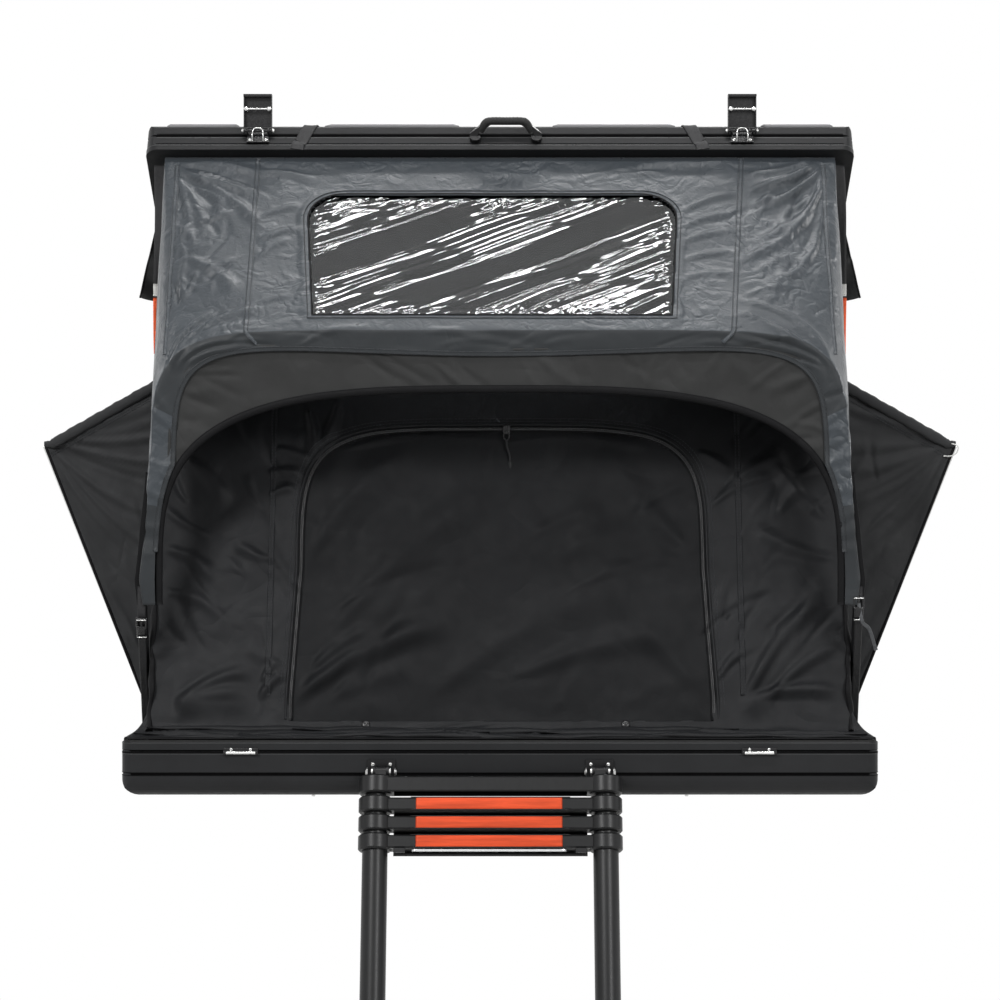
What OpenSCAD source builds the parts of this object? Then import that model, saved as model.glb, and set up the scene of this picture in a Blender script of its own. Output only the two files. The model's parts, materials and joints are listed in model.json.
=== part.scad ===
// Hard-shell roof top tent, open, with its awning set up and its telescopic ladder down.
// Millimetres. The origin is the middle of the crossbar bolt pattern, on the underside of the mounting
// channels. +X is right, +Y is towards the lid hinge, +Z is up.

/* [Shell] */
// Width of the shell
shell_w = 1450; // [1300:10:1600]
// Length of the shell from the ladder end to the hinge end
shell_l = 2150; // [2000:10:2300]
// Height of the base rails
base_h = 105; // [98:1:125]
// Height of the lid rails
lid_h = 70; // [66:1:90]
// Angle of the open lid
open_angle = 33; // [28:0.5:36]
// Width of a rail, from its outer face to its inner face
rail_w = 45; // [42:1:55]
// Wall of the hollow rails
rail_wall = 2.5; // [2:0.1:4]
// Radius of the lower outer edge of the base rails
base_edge_r = 38; // [20:1:38]
// Radius of the upper outer edge of the lid rails
lid_edge_r = 12; // [6:1:16]
// Radius of the shell's corners seen from above
plan_corner_r = 25; // [15:1:35]
// Thickness of the floor panel
floor_t = 10; // [8:1:20]
// Thickness of the lid's roof skin
skin_t = 2; // [1.5:0.1:4]
// Depth of the grooves in the rails
groove_d = 3; // [2:0.5:4]
// Width of the raised rim of the base rails
lip_w = 12; // [10:1:16]
// Drop from the rim to the inner ledge
ledge_drop = 18; // [16:1:22]
// Gap between the rim and the closed lid
seal_gap = 3; // [2.5:0.1:5]
// Thickness of the head liner
liner_t = 12; // [6:1:16]

/* [Mounting] */
// Width of a mounting channel
channel_w = 40; // [36:1:50]
// Height of a mounting channel
channel_h = 28; // [24:1:34]
// Length of a mounting channel
channel_l = 1400; // [1200:10:1500]
// Spacing of the crossbar bolts across the tent
stud_dx = 800; // [700:10:900]
// Spacing of the crossbar bolts along the tent
stud_dy = 900; // [700:10:1100]
// Thread diameter of a crossbar bolt
stud_d = 8; // [6:0.5:10]
// Length of a crossbar bolt below the channel
stud_l = 40; // [30:1:60]

/* [Mattress] */
// Gap between the mattress and the side rails
mattress_side_gap = 45; // [30:1:120]
// Gap between the mattress and the end rails
mattress_end_gap = 50; // [35:1:120]
// Thickness of the mattress at its crown
mattress_t = 52; // [40:1:54]
// Rise of the crown over the edges
mattress_crown = 14; // [6:1:20]

/* [Hinge] */
// Length of the lid hinge
hinge_l = 1200; // [900:10:1260]
// Number of knuckles of the hinge
knuckles = 12; // [8:2:16]
// Outer radius of a knuckle
knuckle_r = 6; // [5:0.5:8]
// Diameter of the hinge pin
hinge_pin_d = 6; // [4:0.5:7]
// Height of a hinge leaf
leaf_h = 40; // [30:1:45]
// Thickness of a hinge leaf
leaf_t = 3; // [2:0.5:4]

/* [Latches] */
// Distance of a latch from the shell's side
latch_in = 230; // [185:5:285]
// Width of a latch lever
latch_w = 58; // [50:1:66]
// Length of a latch lever from its pin
lever_l = 74; // [72:0.5:75]
// Plate thickness of a latch lever
lever_t = 2.5; // [2:0.1:3]
// Height of the latch pin above the lid's lower edge
latch_pin_h = 40; // [40:0.5:41]
// Diameter of the latch pin
latch_pin_d = 5; // [4:0.5:6]
// Width of a keeper bar
keeper_w = 67; // [60:1:80]
// Height of a keeper bar
keeper_h = 13; // [11:1:14]

/* [Grab handle] */
// Width of the handle between its feet
handle_w = 147; // [120:1:170]
// Width of the handle's grip
handle_grip_w = 73; // [60:1:100]
// Reach of the handle
handle_reach = 43; // [38:1:50]
// Thickness of the handle's bar
handle_bar = 11; // [9:1:13]
// Place of the handle across the lid
handle_x = 12; // [-40:1:40]

/* [Gas struts] */
// Distance of the lower strut pivot from the hinge
strut_base_d = 1100; // [1050:10:1150]
// Distance of the upper strut pivot from the hinge
strut_lid_d = 500; // [480:10:520]
// Outer diameter of a strut barrel
strut_barrel_d = 20; // [16:1:22]
// Length of a strut barrel
strut_barrel_l = 400; // [380:5:420]
// Diameter of a strut rod
strut_rod_d = 9; // [7:1:10]

/* [Ladder] */
// Place of the ladder's middle across the tent
ladder_x = -18; // [-60:1:40]
// Distance of a ladder tube from the ladder's middle
tube_x = 217; // [200:1:240]
// Lean of the ladder
ladder_lean = 20; // [12:1:25]
// Outer diameter of the topmost tubes
tube_d = 39; // [36:0.5:42]
// Wall of the ladder tubes
tube_wall = 1.2; // [1:0.1:1.5]
// Length of a ladder tube below its collar
tube_l = 340; // [335:1:360]
// Rung spacing when a section is pulled out
rung_spacing_out = 330; // [310:1:332]
// Rung spacing when a section is pushed in
rung_spacing_in = 36; // [33:0.5:38]
// Height of a rung
rung_h = 25; // [20:1:26]
// Depth of a rung
rung_depth = 40; // [34:1:44]
// Diameter of a collar
collar_d = 64; // [63:1:68]
// Height of a collar
collar_h = 30; // [26:1:31]

/* [Awning] */
// Distance of the awning's ridge inside the shell's side
ridge_in = 57; // [51:1:85]
// Height of the awning's ridge over the rim
ridge_h = 789; // [740:1:800]
// Height over the rim where the awning's sides are widest
arch_h = 307; // [280:1:330]
// Distance of the arch under the valance inside the shell's side
arch_in = 70; // [65:1:105]
// Height of the arch over its widest place
arch_rise = 368; // [320:1:400]
// Distance of the awning's upper edge inside the shell's side
awning_top_in = 37; // [33:1:65]
// Thickness of the fabric
cloth_t = 2; // [1.5:0.1:3]
// Length of the clear window along the slope
window_l = 355; // [280:1:380]
// Width of the clear window
window_w = 702; // [600:1:760]
// Radius of the window's upper corners
window_r = 75; // [40:1:90]
// Diameter of the hoop
hoop_d = 18; // [14:1:20]

/* [Door wall] */
// Height of the skirt over the rim
skirt_h = 75; // [60:1:90]
// Depth of the skirt's folds
skirt_fold = 7; // [3:0.5:9]
// Number of folds in the skirt
skirt_folds = 9; // [5:1:12]
// Half width of the door
door_w = 392; // [340:1:420]
// Height of the door's top over the rim
door_h = 603; // [560:1:660]
// Radius of the door's upper corners
door_r = 150; // [100:1:200]

/* [Wings] */
// Place of the wings along the tent, behind the ladder end
wing_back = 375; // [340:5:420]
// Reach of a wing tip outside the shell
wing_reach = 208; // [160:1:220]
// Height of a wing tip over the rim
wing_tip_h = 571; // [520:1:590]
// Height of a wing's upper corner over the rim
wing_top_h = 720; // [680:1:740]
// Height of a wing's lower corner over the rim
wing_low_h = 52; // [40:1:80]
// Length of a wing hood along the tent
wing_l = 560; // [450:10:620]
// Diameter of a wing rod
wing_rod_d = 8; // [6:0.5:9]

/* [Hidden] */
$fn = 48;

// Colours
shell_black = "#26282a";
trim_black = "#151617";
bare_metal = "#b9bcbf";
cloth_grey = "#4a5055";
cloth_dark = "#232527";
wing_grey = "#2f3032";
orange = "#e8552f";

// Clearances
fit_gap = 0.3;
turn_gap = 0.05;
over = 1;

// Shell levels and faces
half_w = shell_w / 2;
half_l = shell_l / 2;
base_z = channel_h;
rim_z = base_z + base_h;
ledge_z = rim_z - ledge_drop;
lid_z = rim_z + seal_gap;
lid_top = lid_z + lid_h;
in_w = half_w - rail_w;
in_l = half_l - rail_w;
latch_x = half_w - latch_in;
ridge_w = half_w - ridge_in;
arch_w = half_w - arch_in;
awning_top_w = half_w - awning_top_in;
hinge_y = half_l + knuckle_r;
hinge_z = rim_z + seal_gap / 2;
rail_plug = 70;

// A point of the closed lid, given along Y and Z, where it lies with the lid open
function lid_point(y, z) = [
    hinge_y + (y - hinge_y) * cos(open_angle) + (z - hinge_z) * sin(open_angle),
    hinge_z - (y - hinge_y) * sin(open_angle) + (z - hinge_z) * cos(open_angle)
];

// Points of an arc in a plane
function arc(cx, cy, r, from, to, steps = 8) =
    [for (i = [0:steps]) let (a = from + (to - from) * i / steps) [cx + r * cos(a), cy + r * sin(a)]];

function mix(a, b, t) = a + (b - a) * t;
function step_in(t) = let (c = max(0, min(1, t))) c * c * (3 - 2 * c);

// Radius of a superellipse at an angle from its middle
function superellipse_r(angle, a, b, power) =
    pow(pow(abs(cos(angle)) / a, power) + pow(abs(sin(angle)) / b, power), -1 / power);

// Turns what is drawn on the closed lid to the open lid
module on_lid() {
    translate([0, hinge_y, hinge_z])
        rotate([-open_angle, 0, 0])
            translate([0, -hinge_y, -hinge_z])
                children();
}

// Closed sheet over a grid of points, thickened by one vector
module cloth(grid, thick) {
    rows = len(grid);
    cols = len(grid[0]);
    front = [for (row = grid) for (p = row) p];
    back = [for (p = front) p + thick];
    half = rows * cols;
    quads = [for (i = [0:rows - 2]) for (j = [0:cols - 2])
        [i * cols + j, i * cols + j + 1, (i + 1) * cols + j + 1, (i + 1) * cols + j]];
    rim = concat(
        [for (j = [0:cols - 1]) j],
        [for (i = [1:rows - 1]) i * cols + cols - 1],
        [for (j = [1:cols - 1]) (rows - 1) * cols + cols - 1 - j],
        [for (i = [1:rows - 2]) (rows - 1 - i) * cols]
    );
    edge = len(rim);
    faces = concat(
        [for (q = quads) [q[0], q[1], q[2]]],
        [for (q = quads) [q[0], q[2], q[3]]],
        [for (q = quads) [half + q[0], half + q[2], half + q[1]]],
        [for (q = quads) [half + q[0], half + q[3], half + q[2]]],
        [for (k = [0:edge - 1]) let (a = rim[k], b = rim[(k + 1) % edge]) [a, half + a, half + b]],
        [for (k = [0:edge - 1]) let (a = rim[k], b = rim[(k + 1) % edge]) [a, half + b, b]]
    );
    polyhedron(concat(front, back), faces);
}

// Rounded rectangle seen from above
module plan(half_x, half_y, r) {
    square([2 * half_x, 2 * (half_y - r)], center = true);
    square([2 * (half_x - r), 2 * half_y], center = true);
    for (sx = [-1, 1], sy = [-1, 1])
        translate([sx * (half_x - r), sy * (half_y - r)])
            circle(r);
}

// Base rail section: X from the inner to the outer face, Y up from the bottom
groove_low = 43;
groove_high = 87.5;
groove_low_h = 4;
groove_high_h = 2.5;
function groove(out, z, h) =
    [[out, z - h / 2], [out - groove_d, z - h / 2], [out - groove_d, z + h / 2], [out, z + h / 2]];

module base_section() {
    polygon(concat(
        [[0, 0]],
        arc(rail_w - base_edge_r, base_edge_r, base_edge_r, -90, 0),
        groove(rail_w, groove_low, groove_low_h),
        groove(rail_w, groove_high, groove_high_h),
        [[rail_w, base_h - 2], [rail_w - 2, base_h], [rail_w - lip_w, base_h],
         [rail_w - lip_w, base_h - ledge_drop], [0, base_h - ledge_drop]]
    ));
}

module base_cavity() {
    out = rail_w - groove_d - rail_wall;
    r = base_edge_r - groove_d - rail_wall;
    polygon(concat(
        [[rail_wall, groove_d + rail_wall]],
        arc(out - r, base_edge_r, r, -90, 0),
        [[out, base_h - ledge_drop - rail_wall], [rail_wall, base_h - ledge_drop - rail_wall]]
    ));
}

// Lid rail section, with a proud drip lip below, a groove, and a round top edge
lid_lip_h = 15;
lid_lip = 2;
lid_groove = 38;
lid_groove_h = 5;

module lid_section() {
    face = rail_w - lid_lip;
    polygon(concat(
        [[0, 0], [rail_w - 1, 0], [rail_w, 1], [rail_w, lid_lip_h - 1]],
        [[rail_w - 1, lid_lip_h], [face, lid_lip_h]],
        groove(face, lid_groove, lid_groove_h),
        arc(face - lid_edge_r, lid_h - lid_edge_r, lid_edge_r, 0, 90),
        [[0, lid_h]]
    ));
}

module lid_cavity() {
    out = rail_w - lid_lip - groove_d - rail_wall;
    translate([rail_wall, rail_wall])
        square([out - rail_wall, lid_h - lid_edge_r - rail_wall]);
}

// Hollow rail along one side of the shell, mitred at 45 degrees; 0 is the far side, then anticlockwise
module rail(turn, out, long, z) {
    deep = rail_w + over;
    rotate([0, 0, turn])
        intersection() {
            translate([0, out - rail_w, z])
                difference() {
                    rotate([90, 0, 90])
                        linear_extrude(long, center = true)
                            children(0);
                    rotate([90, 0, 90])
                        linear_extrude(long - 2 * rail_plug, center = true)
                            children(1);
                }
            translate([0, 0, z - over])
                linear_extrude(base_h + lid_h)
                    polygon([[-long / 2, out], [long / 2, out], [long / 2 - deep, out - deep],
                             [-long / 2 + deep, out - deep]]);
            translate([0, 0, z - over])
                linear_extrude(base_h + lid_h)
                    plan(long / 2, out, plan_corner_r);
        }
}

// Base shell

module base_floor() {
    color(trim_black)
        translate([-in_w, -in_l, base_z])
            cube([2 * in_w, 2 * in_l, floor_t]);
}

module base_rail(turn, out, long) {
    color(shell_black)
        rail(turn, out, long, base_z) {
            base_section();
            base_cavity();
        }
}

seal_inset = 3;
module base_seal() {
    color(trim_black)
        translate([0, 0, rim_z])
            linear_extrude(seal_gap - fit_gap)
                difference() {
                    plan(half_w - seal_inset, half_l - seal_inset, plan_corner_r - seal_inset);
                    plan(half_w - lip_w + 1, half_l - lip_w + 1, max(2, plan_corner_r - lip_w));
                }
}

// Mounting channels and crossbar bolts
slot_lip = 4;
slot_head = 20;
slot_head_h = 8;
neck_w = stud_d + 0.4;

module channel(side) {
    color(bare_metal)
        translate([side * stud_dx / 2, 0, 0])
            rotate([90, 0, 0])
                linear_extrude(channel_l, center = true)
                    difference() {
                        translate([-channel_w / 2, 0])
                            square([channel_w, channel_h]);
                        translate([-stud_d / 2 - 0.5, -over])
                            square([stud_d + 1, slot_lip + 2 * over]);
                        translate([-slot_head / 2 - 1, slot_lip])
                            square([slot_head + 2, slot_head_h + 1]);
                    }
}

module mount_bolts() {
    color(bare_metal)
        for (sx = [-1, 1], sy = [-1, 1])
            translate([sx * stud_dx / 2, sy * stud_dy / 2, 0]) {
                translate([0, 0, -stud_l])
                    cylinder(d = stud_d, h = stud_l);
                translate([-neck_w / 2, -neck_w / 2, 0])
                    cube([neck_w, neck_w, slot_lip + over]);
                translate([-slot_head / 2, -slot_head / 2, slot_lip])
                    cube([slot_head, slot_head, slot_head_h]);
            }
}

// Mattress with a crown across its width
mattress_corner_r = 60;
mattress_z = base_z + floor_t;
mattress_w = 2 * (in_w - mattress_side_gap);
mattress_l = 2 * (in_l - mattress_end_gap);
crown_r = (pow(mattress_w / 2, 2) + pow(mattress_crown, 2)) / (2 * mattress_crown);
module mattress() {
    color(cloth_grey)
        translate([0, 0, mattress_z])
            intersection() {
                linear_extrude(mattress_t)
                    plan(mattress_w / 2, mattress_l / 2, mattress_corner_r);
                translate([0, 0, mattress_t - crown_r])
                    rotate([90, 0, 0])
                        cylinder(r = crown_r, h = mattress_l + 2 * over, center = true);
            }
}

// Latch keepers on the base
keeper_t = 6;
keeper_drop = 11;
screw_r = 4;
screw_h = 2;
module latch_keepers() {
    color(bare_metal)
        for (sx = [-1, 1])
            translate([sx * latch_x, -half_l, rim_z - keeper_drop - keeper_h]) {
                translate([-keeper_w / 2, -keeper_t, 0])
                    cube([keeper_w, keeper_t, keeper_h]);
                for (e = [-1, 1])
                    translate([e * (keeper_w / 2 - 8), -keeper_t, keeper_h / 2])
                        rotate([90, 0, 0])
                            cylinder(r = screw_r, h = screw_h);
            }
}

// Ladder brackets and pins
ladder_pin_d = 10;
ladder_pin_out = 28;
ladder_pin_up = 50;
ladder_pin_y = -half_l - ladder_pin_out;
ladder_pin_z = base_z + ladder_pin_up;
hanger_in = 9;
hanger_x = tube_x - hanger_in;
hanger_w = 20;
ear_t = 5;
ear_r = 12;
ear_in = hanger_w / 2 + fit_gap;
bracket_h = 43;
bracket_t = 5;
bracket_w = 52;

module ladder_bracket(side) {
    color(trim_black)
        translate([ladder_x + side * hanger_x, ladder_pin_y, ladder_pin_z])
            difference() {
                union() {
                    translate([-bracket_w / 2, ladder_pin_out - bracket_t, -bracket_h / 2])
                        cube([bracket_w, bracket_t, bracket_h]);
                    for (e = [-1, 1])
                        translate([e * (ear_in + ear_t / 2), 0, 0]) {
                            translate([-ear_t / 2, 0, -ear_r])
                                cube([ear_t, ladder_pin_out - bracket_t + over, 2 * ear_r]);
                            rotate([0, 90, 0])
                                cylinder(r = ear_r, h = ear_t, center = true);
                        }
                }
                rotate([0, 90, 0])
                    cylinder(d = ladder_pin_d + 2 * turn_gap, h = bracket_w, center = true);
            }
}

pin_head_r = 8;
pin_head_h = 3;
module ladder_pins() {
    grip = ear_in + ear_t + fit_gap;
    color(bare_metal)
        for (side = [-1, 1])
            translate([ladder_x + side * hanger_x, ladder_pin_y, ladder_pin_z])
                rotate([0, 90, 0]) {
                    cylinder(d = ladder_pin_d, h = 2 * grip + over, center = true);
                    for (e = [-1, 1])
                        translate([0, 0, e * (grip + pin_head_h / 2)])
                            cylinder(r = pin_head_r, h = pin_head_h, center = true);
                }
}

// Wing rods turn in small clevises on the ledge of the side rails
wing_y = -half_l + wing_back;
wing_eye_r = 7;
wing_eye_w = 10;
wing_pin_d = 5;
clevis_t = 2;
clevis_cheek = 4.5;
wing_pivot_x = half_w - 22;
wing_pivot_z = ledge_z + clevis_t + wing_eye_r + 0.5;
wing_tip_x = half_w + wing_reach;
wing_tip_z = rim_z + wing_tip_h;
wing_rod_l = norm([wing_tip_x - wing_pivot_x, wing_tip_z - wing_pivot_z]);
wing_out = atan2(wing_tip_x - wing_pivot_x, wing_tip_z - wing_pivot_z);

module wing_sockets() {
    deep = wing_eye_w / 2 + fit_gap + clevis_cheek;
    color(trim_black)
        for (side = [-1, 1])
            translate([side * wing_pivot_x, wing_y, wing_pivot_z]) {
                translate([-wing_eye_r, -deep, ledge_z - wing_pivot_z])
                    cube([2 * wing_eye_r, 2 * deep, clevis_t]);
                for (e = [-1, 1])
                    translate([-wing_eye_r, e > 0 ? deep - clevis_cheek : -deep, ledge_z - wing_pivot_z])
                        cube([2 * wing_eye_r, clevis_cheek, wing_eye_r + wing_pivot_z - ledge_z - 1]);
                rotate([90, 0, 0])
                    cylinder(d = wing_pin_d, h = 2 * deep - 1, center = true);
            }
}

module wing_rod(side) {
    color(trim_black)
        translate([side * wing_pivot_x, wing_y, wing_pivot_z])
            rotate([0, side * wing_out, 0])
                difference() {
                    union() {
                        rotate([90, 0, 0])
                            cylinder(r = wing_eye_r, h = wing_eye_w, center = true);
                        cylinder(d = wing_rod_d, h = wing_rod_l);
                        translate([0, 0, wing_rod_l])
                            sphere(d = wing_rod_d);
                    }
                    rotate([90, 0, 0])
                        cylinder(d = wing_pin_d + 2 * turn_gap, h = 2 * wing_eye_w, center = true);
                }
}

// Lid hinge: two leaves with knuckles in turn, and one long pin
function knuckle_mid(k) = hinge_l * ((k + 0.5) / knuckles - 0.5);
knuckle_l = hinge_l / knuckles;

// Leaf with the knuckles of one parity; it stands up for the lid and hangs down for the base
module hinge_leaf(parity, up) {
    difference() {
        union() {
            translate([-hinge_l / 2, -knuckle_r, up > 0 ? 0 : -leaf_h])
                cube([hinge_l, leaf_t, leaf_h]);
            for (k = [parity:2:knuckles - 1])
                translate([knuckle_mid(k), 0, 0])
                    rotate([0, 90, 0])
                        cylinder(r = knuckle_r, h = knuckle_l - fit_gap, center = true);
        }
        for (k = [1 - parity:2:knuckles - 1])
            translate([knuckle_mid(k), 0, 0])
                rotate([0, 90, 0])
                    cylinder(r = knuckle_r + fit_gap, h = knuckle_l + fit_gap, center = true);
        rotate([0, 90, 0])
            cylinder(d = hinge_pin_d + 2 * turn_gap, h = hinge_l + 2 * over, center = true);
    }
}

module hinge_base_leaf() {
    color(trim_black)
        translate([0, hinge_y, hinge_z])
            hinge_leaf(0, -1);
}

module hinge_lid_leaf() {
    color(trim_black)
        translate([0, hinge_y, hinge_z])
            rotate([-open_angle, 0, 0])
                hinge_leaf(1, 1);
}

module hinge_pin() {
    color(bare_metal)
        translate([0, hinge_y, hinge_z])
            rotate([0, 90, 0])
                cylinder(d = hinge_pin_d, h = hinge_l + 6, center = true);
}

// Lid shell

module lid_skin() {
    color(shell_black)
        on_lid()
            translate([-in_w, -in_l, lid_top - skin_t])
                cube([2 * in_w, 2 * in_l, skin_t]);
}

module lid_rail(turn, out, long) {
    color(shell_black)
        on_lid()
            rail(turn, out, long, lid_z) {
                lid_section();
                lid_cavity();
            }
}

liner_inset = 5;
module lid_liner() {
    color(cloth_grey)
        on_lid()
            translate([-in_w + liner_inset, -in_l + liner_inset, lid_top - skin_t - liner_t])
                cube([2 * (in_w - liner_inset), 2 * (in_l - liner_inset), liner_t]);
}

// Latches: a bracket with a riveted pin on the lid, and a channel-shaped lever that stands up when open
latch_pin_out = 12;
latch_pin_y = -half_l - latch_pin_out;
latch_pin_z = lid_z + latch_pin_h;
latch_ear_r = 5;
latch_ear_t = 3;
latch_plate_t = 6;
lever_in = latch_w / 2 - lever_t;
latch_ear_x = lever_in - 4;
latch_foot_drop = 24;
latch_foot_rise = 8;

module latch_brackets() {
    back = latch_pin_out + lid_lip;
    color(trim_black)
        on_lid()
            for (side = [-1, 1])
                translate([side * latch_x, latch_pin_y, latch_pin_z]) {
                    translate([-latch_ear_x, back - latch_plate_t, -latch_foot_drop])
                        cube([2 * latch_ear_x, latch_plate_t, latch_foot_drop + latch_foot_rise]);
                    for (e = [-1, 1])
                        translate([e * (latch_ear_x - latch_ear_t / 2), 0, 0]) {
                            translate([-latch_ear_t / 2, 0, -latch_ear_r])
                                cube([latch_ear_t, back - latch_plate_t, 2 * latch_ear_r]);
                            rotate([0, 90, 0])
                                cylinder(r = latch_ear_r, h = latch_ear_t, center = true);
                        }
                    rotate([0, 90, 0])
                        cylinder(d = latch_pin_d, h = latch_w + 2, center = true);
                }
}

lever_web_y = 6.5;
lever_front = 4;
lever_web_from = 8;
lever_hook_t = 5;
lever_hook_in = 9;
lever_eye_r = 6;
module latch_lever(side) {
    pin = lid_point(latch_pin_y, latch_pin_z);
    color(trim_black)
        translate([side * latch_x, pin[0], pin[1]])
            difference() {
                union() {
                    translate([-latch_w / 2, lever_web_y, lever_web_from])
                        cube([latch_w, lever_t, lever_l - lever_web_from]);
                    for (e = [-1, 1])
                        translate([e > 0 ? lever_in : -latch_w / 2, 0, 0]) {
                            translate([0, -lever_front, 0])
                                cube([lever_t, lever_front + lever_web_y + over, lever_l]);
                            rotate([0, 90, 0])
                                cylinder(r = lever_eye_r, h = lever_t);
                        }
                    translate([-latch_w / 2, -lever_hook_in, lever_l - lever_hook_t])
                        cube([latch_w, lever_hook_in + lever_web_y + lever_t, lever_hook_t]);
                }
                rotate([0, 90, 0])
                    cylinder(d = latch_pin_d + 2 * turn_gap, h = latch_w + 2 * over, center = true);
            }
}

// Grab handle: a trapezoid bar that leans up from two feet on the lid's near face
handle_up = 28;
handle_tilt = 36;
handle_t = 12;
handle_foot_r = 11;
handle_foot_h = 5;
handle_knee = 14;
module grab_handle() {
    low = handle_w / 2;
    high = handle_grip_w / 2;
    in_low = low - 1.5 * handle_bar;
    in_high = high - handle_bar / 2;
    in_reach = handle_reach - handle_bar;
    color(trim_black)
        on_lid()
            translate([handle_x, -half_l + lid_lip, lid_z + handle_up]) {
                rotate([180 - handle_tilt, 0, 0])
                    translate([0, 0, -handle_t / 2])
                        linear_extrude(handle_t)
                            difference() {
                                polygon([[-low, handle_knee / 2], [low, handle_knee / 2],
                                         [low, handle_knee], [high, handle_reach],
                                         [-high, handle_reach], [-low, handle_knee]]);
                                polygon([[-in_low, -over], [in_low, -over],
                                         [in_low, handle_knee], [in_high, in_reach],
                                         [-in_high, in_reach], [-in_low, handle_knee]]);
                            }
                for (e = [-1, 1])
                    translate([e * (low - handle_bar), 0, 0])
                        rotate([90, 0, 0])
                            cylinder(r = handle_foot_r, h = handle_foot_h + 6);
            }
}

// Fabric side flaps under the lid's side rails
flap_from = 240;
flap_to = 520;
flap_out = 68;
flap_up = 3;
module lid_side_flaps() {
    color(wing_grey)
        on_lid()
            for (side = [-1, 1])
                translate([0, 0, lid_z + flap_up])
                    linear_extrude(cloth_t)
                        polygon([[side * half_w, -half_l + flap_from], [side * half_w, -half_l + flap_to],
                                 [side * (half_w + flap_out), -half_l + flap_to - 18]]);
}

// Gas struts, inside each side
strut_x = in_w - 25;
strut_eye_r = 8;
strut_eye_w = 12;
strut_pin_d = 8;
strut_base_y = hinge_y - strut_base_d;
strut_base_z = ledge_z - 17;
strut_lid = lid_point(hinge_y - strut_lid_d, lid_z + 22);
strut_len = norm([strut_lid[0] - strut_base_y, strut_lid[1] - strut_base_z]);
strut_angle = atan2(strut_lid[1] - strut_base_z, strut_lid[0] - strut_base_y);
strut_neck = 15;
strut_plate = [3, 36, 26];
strut_inside = 40;

module on_strut(side) {
    translate([side * strut_x, strut_base_y, strut_base_z])
        rotate([strut_angle, 0, 0])
            children();
}

module strut_eye() {
    rotate([0, 90, 0])
        cylinder(r = strut_eye_r, h = strut_eye_w, center = true);
}

module strut_bore() {
    rotate([0, 90, 0])
        cylinder(d = strut_pin_d + 2 * turn_gap, h = 2 * strut_eye_w, center = true);
}

module strut_barrel(side) {
    color(trim_black)
        on_strut(side)
            difference() {
                union() {
                    strut_eye();
                    rotate([-90, 0, 0])
                        cylinder(d = strut_rod_d + 3, h = strut_neck + over);
                    translate([0, strut_neck, 0])
                        rotate([-90, 0, 0])
                            cylinder(d = strut_barrel_d, h = strut_barrel_l);
                }
                strut_bore();
                translate([0, 2 * strut_neck, 0])
                    rotate([-90, 0, 0])
                        cylinder(d = strut_rod_d + 2 * turn_gap, h = strut_barrel_l);
            }
}

module strut_rod(side) {
    from = strut_neck + strut_barrel_l - strut_inside;
    color(bare_metal)
        on_strut(side)
            difference() {
                union() {
                    translate([0, from, 0])
                        rotate([-90, 0, 0])
                            cylinder(d = strut_rod_d, h = strut_len - from);
                    translate([0, strut_len, 0])
                        strut_eye();
                }
                translate([0, strut_len, 0])
                    strut_bore();
            }
}

// Bracket plate on a rail's inner face with a pin towards the middle
module strut_bracket(side, reach) {
    translate([side * in_w, 0, 0]) {
        translate([side > 0 ? -strut_plate[0] : 0, -strut_plate[1] / 2, -strut_plate[2] / 2])
            cube(strut_plate);
        rotate([0, -90 * side, 0])
            cylinder(d = strut_pin_d, h = reach);
    }
}

module strut_base_brackets() {
    color(trim_black)
        for (side = [-1, 1])
            translate([0, strut_base_y, strut_base_z])
                strut_bracket(side, in_w - strut_x + strut_eye_w / 2);
}

module strut_lid_brackets() {
    color(trim_black)
        for (side = [-1, 1])
            translate([0, strut_lid[0], strut_lid[1]])
                rotate([-open_angle, 0, 0])
                    strut_bracket(side, in_w - strut_x - strut_eye_w / 2 - 2 * fit_gap);
}

// Telescopic ladder, drawn hanging straight down from its pins and then leaned
sections_shut = 4;
last_section = 7;
tube_gap = 0.3;
cap_h = 34;
cap_top = -12;
cap_depth = 44;
tube_back = -6;
collar_edge = 3;
function tube_od(k) = tube_d + 2 * (k - 1) * (tube_wall + tube_gap);
function collar_top(k) =
    k == 1 ? cap_top : cap_top - cap_h - (rung_spacing_in - collar_h)
        - rung_spacing_in * (min(k, sections_shut) - 2) - rung_spacing_out * max(0, k - sections_shut);
function collar_low(k) = collar_top(k) - (k == 1 ? cap_h : collar_h);

module on_ladder() {
    translate([ladder_x, ladder_pin_y, ladder_pin_z])
        rotate([-ladder_lean, 0, 0])
            children();
}

module ladder_hanger() {
    color(trim_black)
        on_ladder()
            for (side = [-1, 1])
                translate([side * hanger_x, 0, 0])
                    difference() {
                        union() {
                            rotate([0, 90, 0])
                                cylinder(r = ear_r - 2, h = hanger_w, center = true);
                            translate([-hanger_w / 2, tube_back - 10, cap_top])
                                cube([hanger_w, 20 - tube_back / 2, -cap_top]);
                        }
                        rotate([0, 90, 0])
                            cylinder(d = ladder_pin_d + 2 * turn_gap, h = 2 * hanger_w, center = true);
                    }
}

// Collar with softened edges
module collar(high) {
    rotate_extrude()
        polygon([[0, 0], [collar_d / 2 - collar_edge, 0], [collar_d / 2, collar_edge],
                 [collar_d / 2, high - collar_edge], [collar_d / 2 - collar_edge, high], [0, high]]);
}

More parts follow.
